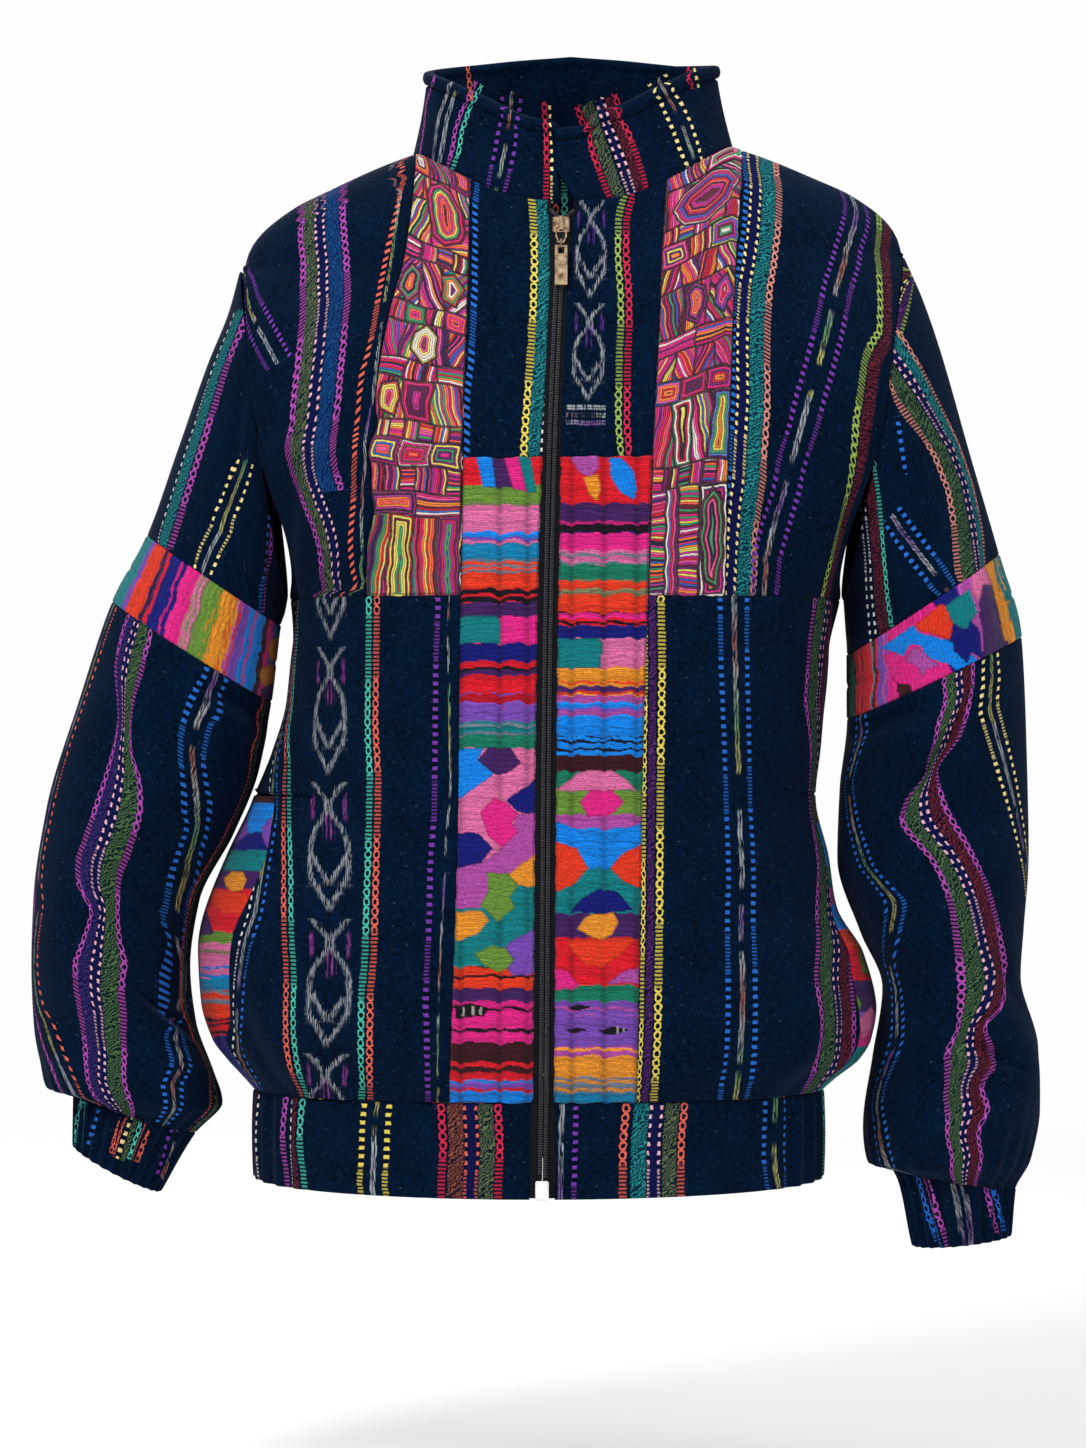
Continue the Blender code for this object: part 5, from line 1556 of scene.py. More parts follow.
BACK_STRIPES = [
    (
        [
            ("chain", "magenta", -13.6, 4.8, 0.2), ("twill", "olive", -7.6, 7.6),
            ("twill", "indigo", 0.2, 7.8), ("dots", "pinkish", -2.8, 1.7, 0.4),
            ("dots", "pinkish", 3.0, 1.7, 0.4), ("twill", "blue", 9.0, 9.4),
            ("chain", "magenta", 16.6, 5.0, 0.1),
        ],
        -168.0,
    ),
    (
        [("dash", "blue", -9.0, 3.8, 0.2), ("ikat", None, 0, 5.0, 0.6), ("dash", "blue", 9.0, 3.8, 0.3)],
        -118.0,
    ),
    ([("chain", "teal", -2.9, 5.0, 0.1), ("chain", "coral", 2.9, 5.0, 0.14)], -66.0),
    ([("figure", "purple", 0, 26, 84.0, 0.3)], -30.0),
    ([("chain", "teal", -2.9, 5.0, 0.6), ("chain", "coral", 2.9, 5.0, 0.64)], 6.0),
    ([("dash", "purple", 0, 3.8, 0.46), ("ikat", None, 9.0, 2.4, 0.5)], 48.0),
    (
        [
            ("dash", "blue", -6.0, 3.2, 0.2), ("twill", "indigo", 0, 8.0),
            ("dots", "cream", -3.1, 1.8, 0.16), ("dots", "cream", 3.1, 1.8, 0.2),
            ("twill", "teal", 9.0, 9.0), ("chain", "salmon", 15.8, 4.8, 0.05),
        ],
        92.0,
    ),
    (
        [
            ("dash", "purple", -9.0, 3.6, 0.1), ("ikat", None, 0, 5.0, 0.1),
            ("dash", "purple", 9.0, 3.6, 0.4),
        ],
        146.0,
    ),
    ([("chain", "lime", 0, 5.4, 0.2), ("twill", "wine", 8.0, 8.6)], 182.0),
]
sew_striped("back", laid, BACK_STRIPES, "hung")

# The waistband is doubled cloth drawn into gathers by the elastic inside it, flat beside the zip.
turn = np.linspace(4.6, 355.4, 420)[None, :]
down = steps(58, 3.0)[:, None]
centre, half, front_depth, power = ring(np.array(WAIST_SEAM), False)
back_depth = ring(np.array(WAIST_SEAM), True)[2]
half = half + 0.8 * np.sin(pi * down)
side = np.sin(np.radians(turn))
ahead = np.cos(np.radians(turn))
depth = np.where(ahead > 0, front_depth, back_depth)
reach = (np.abs(side / half) ** power + np.abs(ahead / depth) ** power) ** (-1 / power)
from_flat = np.minimum(turn, 360 - turn) - 56.0
wave = np.cos(2 * pi * from_flat * 40 / 248)
reach = reach + smooth_step(from_flat / 8) * 1.5 * wave
hem = mix((HEM_FRONT + HEM_SIDE) / 2, HEM_FRONT, np.maximum(ahead, 0))
height = mix(WAIST_SEAM, hem, down)
grid = np.stack([centre + reach * side, -reach * ahead, height], axis=-1)
zip_x = read_table(ZIP_LINE, grid[:, 0, 2])[0]
grid[:, 0, 0] = zip_x + ZIP_HALF_WIDTH
grid[:, -1, 0] = zip_x - ZIP_HALF_WIDTH
WAISTBAND_STRIPES = [
    ([("ikat", None, 0, 4.4, 0.1), ("dash", "purple", 8.5, 3.6, 0.1)], [(562, 1110), (560, 1195)]),
    (
        [
            ("chain", "coral", -19.5, 5.4, 0.16), ("twill", "teal", -9.8, 9.6),
            ("twill", "indigo", 0, 8.0), ("dots", "pinkish", -3.6, 1.9, 0.22),
            ("dots", "pinkish", 3.0, 1.9, 0.2), ("twill", "olive", 9.8, 9.0),
            ("chain", "coral", 17.4, 5.4, 0.16),
        ],
        [(657.5, 1106), (654, 1150), (653.5, 1198)],
    ),
    (
        [
            ("dash", "blue", -8.6, 4.2, 0.2), ("ikat", None, 0, 5.0, 0.74),
            ("dash", "blue", 8.8, 4.0, 0.16),
        ],
        [(776, 1104), (774, 1150), (778, 1192)],
    ),
    (
        [
            ("chain", "teal", -5.0, 5.0, 0.3), ("twill", "wine", 3.0, 9.0),
            ("dots", "white", 10.0, 2.0, 0.2),
        ],
        [(838, 1104), (836, 1150), (834, 1180)],
    ),
    (
        [
            ("chain", "crimson", -18.0, 5.4, 0.2), ("twill", "brown", -9.4, 9.6),
            ("twill", "indigo", 0, 8.4), ("dots", "coral", -3.4, 2.0, 0.2),
            ("dots", "coral", 3.6, 2.0, 0.2), ("twill", "olive", 9.6, 9.2),
            ("chain", "crimson", 17.2, 5.4, 0.2),
        ],
        [(470, 1106), (472, 1150), (470, 1195)],
    ),
    (
        [
            ("dash", "yellow", -8.4, 4.2, 0.2), ("ikat", None, 0, 5.0, 0.9),
            ("dash", "yellow", 8.4, 4.2, 0.2),
        ],
        [(377, 1103), (374, 1150), (372, 1185)],
    ),
    (
        [
            ("chain", "magenta", -8.0, 4.6, 0.3), ("dots", "white", -1.0, 2.0, 0.3),
            ("twill", "wine", 4.0, 5.0), ("chain", "teal", 10.0, 5.0, 0.3),
        ],
        [(292, 1108), (291, 1140), (292, 1170)],
    ),
]
for place, stripes in zip((330.0, 440.0, 560.0, 670.0, 780.0), (1, 2, 4, 5, 3)):
    WAISTBAND_STRIPES.append((WAISTBAND_STRIPES[stripes][0], place))
sew_striped("waistband", lay_cloth(grid), WAISTBAND_STRIPES, "gathered", thickness=1.8)

# The sleeves: sections from the armhole to the cuff's edge.
RIGHT_SLEEVE = [
    (0.0, -212.7, -77.5, -182.7, -286.2, 80.0, 0),
    (0.4, -219.5, -103.0, -183.0, -287.5, 80.0, -1),
    (1.0, -233.0, -137.0, -183.4, -291.0, 79.0, -3),
    (2.0, -252.0, -192.0, -184.5, -297.0, 78.0, -6),
    (3.0, -271.5, -247.0, -186.5, -304.0, 76.0, -8),
    (4.0, -293.5, -289.0, -192.5, -352.5, 76.0, -10),
    (5.0, -314.5, -352.0, -200.5, -397.0, 74.5, -12),
    (6.0, -335.0, -420.0, -216.5, -437.0, 73.0, -12),
    (7.0, -343.5, -476.0, -238.5, -480.0, 71.0, -11),
    (8.0, -345.0, -520.0, -244.5, -522.0, 69.0, -10),
    (9.0, -343.5, -558.0, -241.0, -556.0, 68.0, -10),
    (10.0, -339.0, -583.0, -230.0, -588.0, 66.0, -12),
    (10.6, -334.0, -598.0, -224.5, -608.0, 58.0, -14),
    (11.0, -317.0, -601.5, -241.5, -626.5, 39.0, -16),
    (12.0, -317.4, -635.5, -263.6, -664.0, 33.0, -18),
]
LEFT_SLEEVE = [
    (0.0, 211.2, -68.3, 171.9, -286.2, 80.0, 0),
    (0.4, 222.5, -94.0, 173.3, -288.5, 80.0, -1),
    (1.0, 233.5, -126.0, 173.6, -294.0, 79.0, -3),
    (2.0, 253.0, -195.0, 174.2, -307.0, 78.0, -6),
    (3.0, 271.5, -259.0, 175.0, -322.5, 76.0, -8),
    (4.0, 285.5, -311.5, 175.0, -363.5, 76.0, -10),
    (5.0, 288.5, -377.0, 170.0, -409.0, 74.5, -12),
    (6.0, 290.0, -448.0, 168.5, -453.0, 73.0, -12),
    (7.0, 287.0, -495.0, 183.0, -499.0, 71.0, -11),
    (8.0, 285.0, -528.0, 197.5, -536.0, 69.0, -10),
    (9.0, 296.0, -572.0, 191.0, -580.0, 68.0, -10),
    (10.0, 296.5, -612.0, 185.0, -622.0, 66.0, -12),
    (10.6, 290.5, -643.0, 189.0, -646.0, 58.0, -14),
    (11.0, 280.5, -662.0, 204.5, -651.0, 39.0, -16),
    (12.0, 277.6, -692.0, 217.0, -699.0, 33.0, -18),
]
RIGHT_SLEEVE_CREASES = [
    (1.3, 120, 1.2, 17, 5.0, -20),
    (2.0, 152, 1.0, 15, -5.0, -14),
    (4.7, 60, 0.8, 22, 3.0, 30),
    (5.6, 118, 0.9, 18, -4.0, -24),
    (6.6, 70, 1.1, 24, 3.5, 20),
    (8.7, 118, 0.9, 24, 6.0, -30),
    (9.4, 76, 0.8, 22, -5.0, -26),
    (9.7, 140, 0.6, 18, 4.0, 10),
    (6.2, 250, 1.6, 22, 5.0, 16),
    (8.8, 285, 1.2, 22, -5.0, -14),
    (8.7, 132, 0.45, 5, -6.0, -41),
    (8.8, 122, 0.45, 6, 4.0, -41),
    (6.9, 116, 0.35, 5, -4.0, -66),
    (7.0, 106, 0.35, 6, 3.0, -66),
    (4.26, 140, 0.1, 24, -5.0, 0),
    (4.5, 138, 0.14, 26, 4.0, 0),
    (1.0, 80, 0.8, 7, -4.0, -10),
    (1.2, 97, 0.8, 7, 3.5, -12),
    (0.9, 130, 0.6, 8, -3.0, 0),
    (10.0, 150, 0.3, 18, 4.0, 0),
    (9.9, 80, 0.3, 18, 4.0, 0),
    (5.4, 225, 0.5, 7, -4.0, 36),
    (9.1, 240, 0.4, 6, -5.0, 40),
]
LEFT_SLEEVE_CREASES = [
    (1.3, 118, 1.3, 16, 5.0, 18),
    (2.2, 140, 1.0, 14, -5.0, 12),
    (3.4, 60, 0.6, 15, 7.5, -8),
    (3.4, 38, 0.6, 13, -5.0, -8),
    (4.7, 104, 0.5, 30, 6.0, 12),
    (5.2, 80, 0.5, 30, -5.0, 14),
    (6.3, 116, 1.2, 20, 3.0, -20),
    (8.9, 48, 0.8, 20, 6.0, 24),
    (9.6, 96, 0.8, 20, -4.0, -12),
    (6.4, 255, 1.6, 22, 5.0, -16),
    (8.9, 290, 1.2, 22, -5.0, 14),
    (4.25, 128, 0.1, 26, -7.0, 0),
    (4.5, 122, 0.14, 28, 5.0, 0),
    (4.8, 93, 0.45, 5, -6.0, -42),
    (4.85, 104, 0.45, 6, 4.0, -42),
    (9.0, 66, 0.3, 6, -6.0, 78),
    (9.12, 76, 0.3, 7, 4.0, 78),
    (9.9, 60, 0.3, 20, 5.0, 0),
    (7.8, 45, 0.5, 8, -3.5, 20),
    (1.7, 95, 0.9, 8, -3.5, 12),
    (1.2, 78, 0.7, 7, 3.0, 8),
    (5.4, 220, 0.5, 7, -4.0, -36),
    (9.1, 250, 0.4, 6, -5.0, -40),
]


def sleeve_points(stations, creases, along, turn):
    """Points of a sleeve's outer side: turn is 0 at its outer edge, 90 in front, 180 inside."""
    outer_x, outer_z, inner_x, inner_z, half_depth, centre_y = read_table(stations, along)
    rise = np.zeros(np.broadcast(along, turn).shape)
    for crease_along, crease_turn, half_length, half_width, depth, slant in creases:
        further = along - crease_along
        round_arm = (turn - crease_turn + 180) % 360 - 180 + further * slant
        rise = rise + crease_rise(further, round_arm, half_length, half_width, depth)
    rise = rise * np.clip(np.minimum(along / 0.5, (11.0 - along) / 0.2), 0, 1)
    rise = rise + 1.5 * smooth_step((along - 9.6) / 1.4) * np.cos(np.radians(24 * turn))
    half_x = (outer_x - inner_x) / 2
    half_z = (outer_z - inner_z) / 2
    half_width = np.hypot(half_x, half_z)
    outwards = (half_width + rise) * np.cos(np.radians(turn))
    ahead = (half_depth + rise) * np.sin(np.radians(turn))
    return np.stack(
        [
            (outer_x + inner_x) / 2 + half_x / half_width * outwards,
            centre_y - ahead,
            (outer_z + inner_z) / 2 + half_z / half_width * outwards,
        ],
        axis=-1,
    )


# The sleeve bands: the same brocade turned so that its weft runs down the sleeve. A chart gives the ends
# of the band's middle line in the view, the blocks that show by their distance from its start, then the
# blocks on the hidden side in millimetres of width.
BAND_BEHIND = [
    (12, "hot_pink"), (9, "lavender", "sky"), (11, "cyan"), (8, "royal"), (10, "scarlet", "dark"),
    (12, "amber"), (9, "green", "amber"), (12, "emerald"), (10, "pale_pink", "slate"), (12, "orchid"),
    (8, "purple"), (11, "red", "deep_red"),
]
BAND_RIGHT_BLOCKS = [
    (-8, "teal"), (-4, "orchid"), (7, "lavender"), (12, "scarlet"), (25, "red", "purple", "dark"),
    (33, "royal"), (43, "hot_pink", "royal"), (57, "hot_pink"), (68, "pale_pink", "olive"), (80, "green"),
    (92, "green", "amber"), (100, "amber"), (113, "scarlet", "orchid", "amber"), (123, "lavender"),
    (131, "sky", "orchid"), (141, "sky"), (150, "maroon"),
]
BAND_RIGHT_SHAPES = [
    ("scarlet", [(279, 650), (286, 642), (292, 660), (280, 684), (272, 672)]),
    ("amber", [(270, 640), (279, 636), (285, 645), (280, 660), (271, 662), (268, 650)]),
    ("amber", [(262, 668), (272, 664), (277, 672), (272, 686), (263, 686), (259, 676)]),
    ("purple", [(260, 690), (270, 683), (283, 688), (282, 702), (262, 700)]),
]
BAND_LEFT_BLOCKS = [
    (-4, "maroon"), (4, "emerald", "dark"), (10, "maroon", "red"), (19, "deep_red"),
    (25, "maroon", "slate", "red"), (35, "lavender"), (41, "orchid", "lavender"), (47, "hot_pink"),
    (104, "royal"), (130, "orchid"), (150, "purple"), (165, "amber"), (172, "amber", "teal"),
    (180, "teal"),
]
BAND_LEFT_SHAPES = [
    (
        "hot_pink",
        [(883, 655), (903, 650), (912, 640), (940, 650), (957, 680), (963, 694), (917, 704), (893, 680)],
    ),
    (
        "sky",
        [
            (880, 648), (913, 625), (920, 633), (940, 638), (953, 642), (973, 655), (984, 665),
            (982, 684), (963, 694), (960, 674), (950, 665), (927, 658), (920, 645), (910, 645),
            (903, 657), (893, 652),
        ],
    ),
    ("scarlet", [(915, 625), (940, 604), (947, 606), (953, 625), (950, 640), (930, 633), (920, 632)]),
    ("teal", [(945, 606), (970, 588), (978, 612), (972, 620), (967, 630), (957, 626), (952, 622)]),
    (
        "royal",
        [(953, 627), (965, 630), (972, 620), (980, 632), (984, 660), (972, 653), (967, 663), (953, 650)],
    ),
    (
        "orchid",
        [(912, 648), (918, 647), (930, 658), (940, 665), (927, 670), (923, 677), (917, 667), (905, 660)],
    ),
    ("maroon", [(897, 683), (910, 684), (917, 706), (900, 712)]),
    ("pale_pink", [(970, 566), (982, 558), (992, 585), (983, 585), (979, 604), (972, 590)]),
    ("purple", [(983, 585), (992, 585), (1005, 642), (984, 650), (981, 625), (979, 604)]),
    ("amber", [(982, 560), (992, 554), (1000, 595), (1008, 602), (1012, 638), (1005, 642), (993, 588)]),
    ("teal", [(997, 550), (1008, 548), (1028, 600), (1028, 634), (1017, 637), (1008, 600)]),
]
BAND_CHARTS = {
    "sleeve_band_right": ((131, 571), (272, 650), BAND_RIGHT_BLOCKS, BAND_BEHIND, BAND_RIGHT_SHAPES),
    "sleeve_band_left": ((846, 672), (1020, 596), BAND_LEFT_BLOCKS, BAND_BEHIND[::-1], BAND_LEFT_SHAPES),
}


def weft_blocks(laid, start, end, blocks, behind):
    """Paints blocks side by side round a band, those that show by their place in the view."""
    length = np.hypot(end[0] - start[0], end[1] - start[1])
    places = []
    for distance, *yarns in blocks:
        share = distance / length
        spot = (mix(start[0], end[0], share), mix(start[1], end[1], share))
        places.append((on_cloth(laid, *spot)[0], yarns))
    around = float(laid[2][:, -1].mean())
    forward = places[-1][0] > places[0][0]
    edge = places[-1][0] if forward else places[0][0]
    first = places[0][0] if forward else places[-1][0]
    if not forward:
        ends = [x for x, _ in places[1:]] + [places[-1][0]]
        places = [(x, y) for x, (_, y) in zip(ends, places)]
    hidden = []
    reach = edge + 8.0 if forward else edge
    turn_number = 0
    while reach < first + around:
        width, *yarns = behind[turn_number % len(behind)]
        hidden.append((reach, width, yarns))
        reach += width
        turn_number += 1
    share = laid[2] / laid[2][:, -1:] * around
    share = share + 0.8 * np.sin(laid[3] * 0.3 + share * 0.1)
    thread = np.floor(share / 1.7 + 0.3 * np.sin(laid[3] * 0.2))
    colours = weft_colours(thread, blocks[-1][1:])
    for place, yarns in sorted(places, key=lambda item: item[0]):
        colours = np.where((share >= place)[..., None], weft_colours(thread, yarns), colours)
    for begin, width, yarns in hidden:
        for lap in (0.0, around, -around):
            inside = (share + lap >= begin) & (share + lap < min(begin + width, first + around))
            colours = np.where(inside[..., None], weft_colours(thread, yarns), colours)
    return colours


# The sleeves' cloth is navy like the body's, and each bundle of stripes follows a line down the sleeve.
# A few bundles come back on several pieces, so they have a name.
BAND_OF_TWILLS = [
    ("chain", "magenta", -14.6, 4.6, 0.3), ("twill", "purple", -9.0, 7.6), ("twill", "indigo", -1.9, 7.4),
    ("dots", "pinkish", -4.4, 1.7, 0.2), ("dots", "pinkish", 0.2, 1.7, 0.25),
    ("twill", "moss", 7.0, 10.6), ("chain", "magenta", 14.4, 4.6, 0.36),
]
WINE_AND_MOSS = [
    ("chain", "magenta", -14.6, 4.8, 0.1), ("twill", "moss", -7.8, 9.6), ("twill", "indigo", 0.2, 7.4),
    ("dots", "pinkish", -2.2, 1.8, 0.1), ("dots", "pinkish", 2.6, 1.8, 0.14), ("twill", "wine", 8.4, 8.4),
    ("chain", "magenta", 14.6, 4.8, 0.2),
]
MOSS_TO_PINK = [
    ("chain", "salmon", -14.6, 4.6, 0.3), ("twill", "moss", -8.0, 9.0), ("twill", "indigo", 0.6, 7.4),
    ("dots", "pinkish", 3.0, 1.7, 0.2), ("dots", "pinkish", -1.6, 1.7, 0.25), ("twill", "teal", 8.4, 8.4),
    ("chain", "salmon", 14.6, 4.6, 0.36),
]
BLUE_DASHES = [
    ("dash", "blue", -7.0, 3.6, 0.2), ("ikat", None, 0, 4.6, 0.3), ("dash", "blue", 7.0, 3.6, 0.3),
]
YELLOW_DASHES = [
    ("dash", "cream", -8.0, 3.4, 0.2), ("ikat", None, 0, 4.6, 0.8), ("dash", "cream", 8.0, 3.4, 0.3),
]
UPPER_RIGHT_STRIPES = [
    (
        [
            ("dots", "white", -15.0, 2.4, 0.2), ("twill", "teal", -6.0, 13.0),
            ("chain", "magenta", 4.6, 6.4, 0.3),
        ],
        [(239, 322), (220, 372), (199, 440), (180, 500), (169, 536)],
    ),
    (
        [
            ("dots", "cream", -6.6, 2.2, 0.2), ("ikat", None, 0, 3.4, 0.8),
            ("dots", "cream", 6.4, 2.2, 0.3),
        ],
        [(243, 468), (232, 500), (225, 515), (221, 530), (211, 548), (204, 566)],
    ),
    (
        [("dots", "blue", -2.6, 4.2, 0.5), ("chain", "magenta", 2.6, 4.2, 0.6)],
        [(271, 408), (272, 442), (272, 480), (271, 520), (267, 560), (263, 600)],
    ),
    (YELLOW_DASHES, 290.0),
]
LOWER_RIGHT_SLEEVE_STRIPES = [
    (
        BAND_OF_TWILLS,
        [
            (122.5, 628), (115.5, 658), (116.6, 694), (117.5, 722), (112.4, 750), (102.9, 781), (90, 819),
            (78.5, 852), (77.2, 883), (89.8, 914), (81, 942), (73.4, 965), (76, 999), (82.3, 1037),
            (84.5, 1065), (87, 1083),
        ],
        [
            (154, 628), (146, 658), (136, 694), (131.5, 722), (132, 750), (141, 781), (141, 819),
            (130.8, 852), (120.6, 883), (119.2, 914), (121.8, 942), (127, 965), (124.4, 999),
            (125.7, 1037), (126.4, 1065), (126.4, 1083),
        ],
        16.0,
    ),
    (
        BLUE_DASHES,
        [
            (203, 679), (189.5, 704), (181.8, 730), (180.5, 755), (183, 781), (184.4, 806), (185.7, 832),
            (176.7, 857), (170, 883), (167, 900), (164, 922), (169.8, 942), (167.8, 963), (164, 986),
            (160.7, 1011), (166, 1037), (172, 1060), (163, 1085),
        ],
        [
            (226.5, 679), (220, 704), (208.6, 730), (203.5, 755), (206, 781), (210, 806), (206.6, 832),
            (200, 857), (194.6, 883), (188, 900), (185, 922), (183, 942), (192, 963), (192, 986),
            (185.7, 1011), (183, 1037), (190, 1060), (181, 1085),
        ],
        7.0,
    ),
    (
        [
            ("dots", "coral", 0, 3.0, 0.6), ("ikat", None, -9.0, 4.0, 0.7),
            ("chain", "magenta", -22.0, 4.6, 0.2),
        ],
        [
            (44, 853), (41.5, 886), (43, 904), (37.7, 948), (37.7, 973), (42.8, 1004), (53, 1024),
            (63, 1050), (70.8, 1070), (77, 1085),
        ],
    ),
    (
        [("chain", "coral", -4.0, 4.4, 0.1), ("twill", "olive", 3.0, 6.0)],
        [(262, 712), (258, 740), (250, 780)],
    ),
    (YELLOW_DASHES, 290.0),
]
UPPER_LEFT_STRIPES = [
    (
        [
            ("chain", "lime", -13.0, 4.8, 0.2), ("twill", "wine", -6.6, 7.4),
            ("dots", "cream", -1.4, 1.9, 0.2), ("dots", "cream", 2.0, 1.9, 0.22),
            ("twill", "violet", 7.6, 7.6), ("chain", "lime", 13.6, 4.8, 0.25),
        ],
        [(940, 236), (922, 262), (905, 284), (884, 330), (866, 372), (852, 402)],
    ),
    (MOSS_TO_PINK, [(889, 350), (908, 376), (930, 413), (950, 447), (964, 484), (973, 527), (979, 570)]),
    (BLUE_DASHES, [(898, 525), (915, 548), (932, 570), (950, 595)]),
    ([("dots", "blue", 0, 3.0, 0.2)], [(899, 428), (902, 450), (904, 462)]),
    (
        [
            ("dots", "white", -10.0, 1.8, 0.2), ("dots", "white", -5.4, 1.8, 0.3),
            ("twill", "wine", 1.6, 9.0), ("chain", "teal", 8.6, 4.4, 0.55),
        ],
        [(857, 470), (861, 505), (866, 555), (868, 600), (872, 640)],
        [(875, 470), (880, 505), (884, 555), (888, 600), (894, 640)],
        9.0,
    ),
    (YELLOW_DASHES, 110.0),
]
LOWER_LEFT_SLEEVE_STRIPES = [
    (
        WINE_AND_MOSS,
        [
            (943, 707), (935, 736), (926, 771), (906, 800), (900.4, 821), (915.7, 843), (930.7, 861),
            (943, 886), (951, 914), (955, 943), (957.5, 971), (958.6, 1000), (956.4, 1029), (945, 1057),
            (945, 1086), (945, 1107), (945.7, 1129), (951, 1157),
        ],
        [
            (970, 707), (961, 736), (937.8, 771), (945, 800), (955, 821), (968, 843), (977, 861),
            (988.6, 886), (996.8, 914), (1002.8, 943), (1005.7, 971), (1005, 1000), (986.4, 1029),
            (993, 1057), (983.6, 1086), (989.6, 1107), (980.7, 1129), (983, 1157),
        ],
        16.0,
    ),
    (
        BLUE_DASHES,
        [
            (859, 743), (849, 779), (850, 804), (856, 835), (866, 866), (882, 886), (894, 902),
            (891.4, 929), (893, 979), (896.8, 1007), (896.8, 1032), (886, 1068), (877, 1100), (879, 1129),
            (886, 1160),
        ],
    ),
    (YELLOW_DASHES, [(989.6, 711), (1009, 779), (1022, 840), (1027, 900), None]),
    (YELLOW_DASHES, 85.0),
]
CUFF_RIGHT_STRIPES = [
    (
        [("dash", "blue", 0, 3.4, 0.0), ("chain", "teal", -13.0, 4.4, 0.2)],
        [(104, 1092), (97, 1112), (91, 1136)],
    ),
    (
        [
            ("chain", "coral", -9.6, 4.4, 0.1), ("dots", "cream", -4.6, 2.0, 0.1),
            ("twill", "olive", -0.6, 4.0), ("chain", "teal", 3.8, 3.6, 0.1),
            ("chain", "coral", 9.4, 4.0, 0.1),
        ],
        [(147, 1090), (137, 1118), (127, 1148)],
    ),
    (
        [("dots", "purple", 0, 3.0, 0.1), ("ikat", None, 5.0, 3.0, 0.4)],
        [(176, 1118), (168, 1140), (160, 1165)],
    ),
    ([("dash", "blue", 0, 3.6, 0.1), ("chain", "magenta", 9.0, 4.4, 0.1)], 150.0),
    ([("dots", "cream", 0, 3.0, 0.1), ("twill", "wine", 6.0, 6.0)], 200.0),
]
CUFF_LEFT_STRIPES = [
    (
        [("chain", "blue", -3.0, 4.6, 0.1), ("chain", "magenta", 3.2, 4.6, 0.12)],
        [(919, 1168), (928, 1200), (940, 1236)],
    ),
    (
        [("ikat", None, -3.5, 5.0, 0.1), ("ikat", None, 3.5, 5.0, 0.15)],
        [(952, 1166), (962, 1200), (966, 1232)],
    ),
    (
        [("chain", "magenta", -2.6, 4.0, 0.1), ("chain", "blue", 2.8, 4.0, 0.12)],
        [(978, 1160), (990, 1190), (998, 1222)],
    ),
    ([("dash", "purple", 0, 3.6, 0.1), ("chain", "teal", 9.0, 4.4, 0.1)], 30.0),
    ([("dots", "cream", 0, 3.0, 0.1), ("twill", "wine", 6.0, 6.0)], 75.0),
]
SLEEVE_STRIPES = {
    "upper_sleeve_right": UPPER_RIGHT_STRIPES,
    "lower_sleeve_right": LOWER_RIGHT_SLEEVE_STRIPES,
    "upper_sleeve_left": UPPER_LEFT_STRIPES,
    "lower_sleeve_left": LOWER_LEFT_SLEEVE_STRIPES,
    "cuff_right": CUFF_RIGHT_STRIPES,
    "cuff_left": CUFF_LEFT_STRIPES,
}
for side_name, stations, creases in (
    ("right", RIGHT_SLEEVE, RIGHT_SLEEVE_CREASES),
    ("left", LEFT_SLEEVE, LEFT_SLEEVE_CREASES),
):
    for part, start, end, length, columns, held in (
        ("upper_sleeve", 0.0, 3.0, 160, 133, "hung"),
        ("lower_sleeve", 4.0, 11.0, 300, 133, "hung"),
        ("cuff", 11.0, 12.0, 38, 241, "gathered"),
    ):
        down = steps(length, 2.6)[:, None]
        turn = np.linspace(0, 360, columns)[None, :]
        turn = turn[:, ::-1] if side_name == "left" else turn
        node = f"{part}_{side_name}"
        laid = lay_cloth(sleeve_points(stations, creases, mix(start, end, down), turn), tube=True)
        sew_striped(node, laid, SLEEVE_STRIPES[node], held, slanting=part != "lower_sleeve", tube=True)

for side_name, stations, creases in (
    ("right", RIGHT_SLEEVE, RIGHT_SLEEVE_CREASES),
    ("left", LEFT_SLEEVE, LEFT_SLEEVE_CREASES),
):
    down = steps(52, 1.1)[:, None]
    turn = np.linspace(0, 360, 321)[None, :]
    turn = turn[:, ::-1] if side_name == "left" else turn
    node = f"sleeve_band_{side_name}"
    points = sleeve_points(stations, creases, mix(3.0, 4.0, down), turn)
    laid = lay_cloth(points, tube=True)
    pucker = -0.8 * np.exp(-(((laid[3] - 0.5 * laid[3][-1:]) / 1.6) ** 2))
    ribs = 0.35 * np.sin(laid[2] / 0.62 + 1.3 * np.sin(laid[3] * 0.4))
    laid = lay_cloth(points, relief=pucker + ribs, tube=True)
    start, end, blocks, behind, shapes = BAND_CHARTS[node]
    dyes = paint_shapes(laid, weft_blocks(laid, start, end, blocks, behind), shapes)
    layers = {"dye": dyes}
    sew_cloth(node, laid, brocade_upright, "brocade", "hung", tube=True, thickness=0, layers=layers)

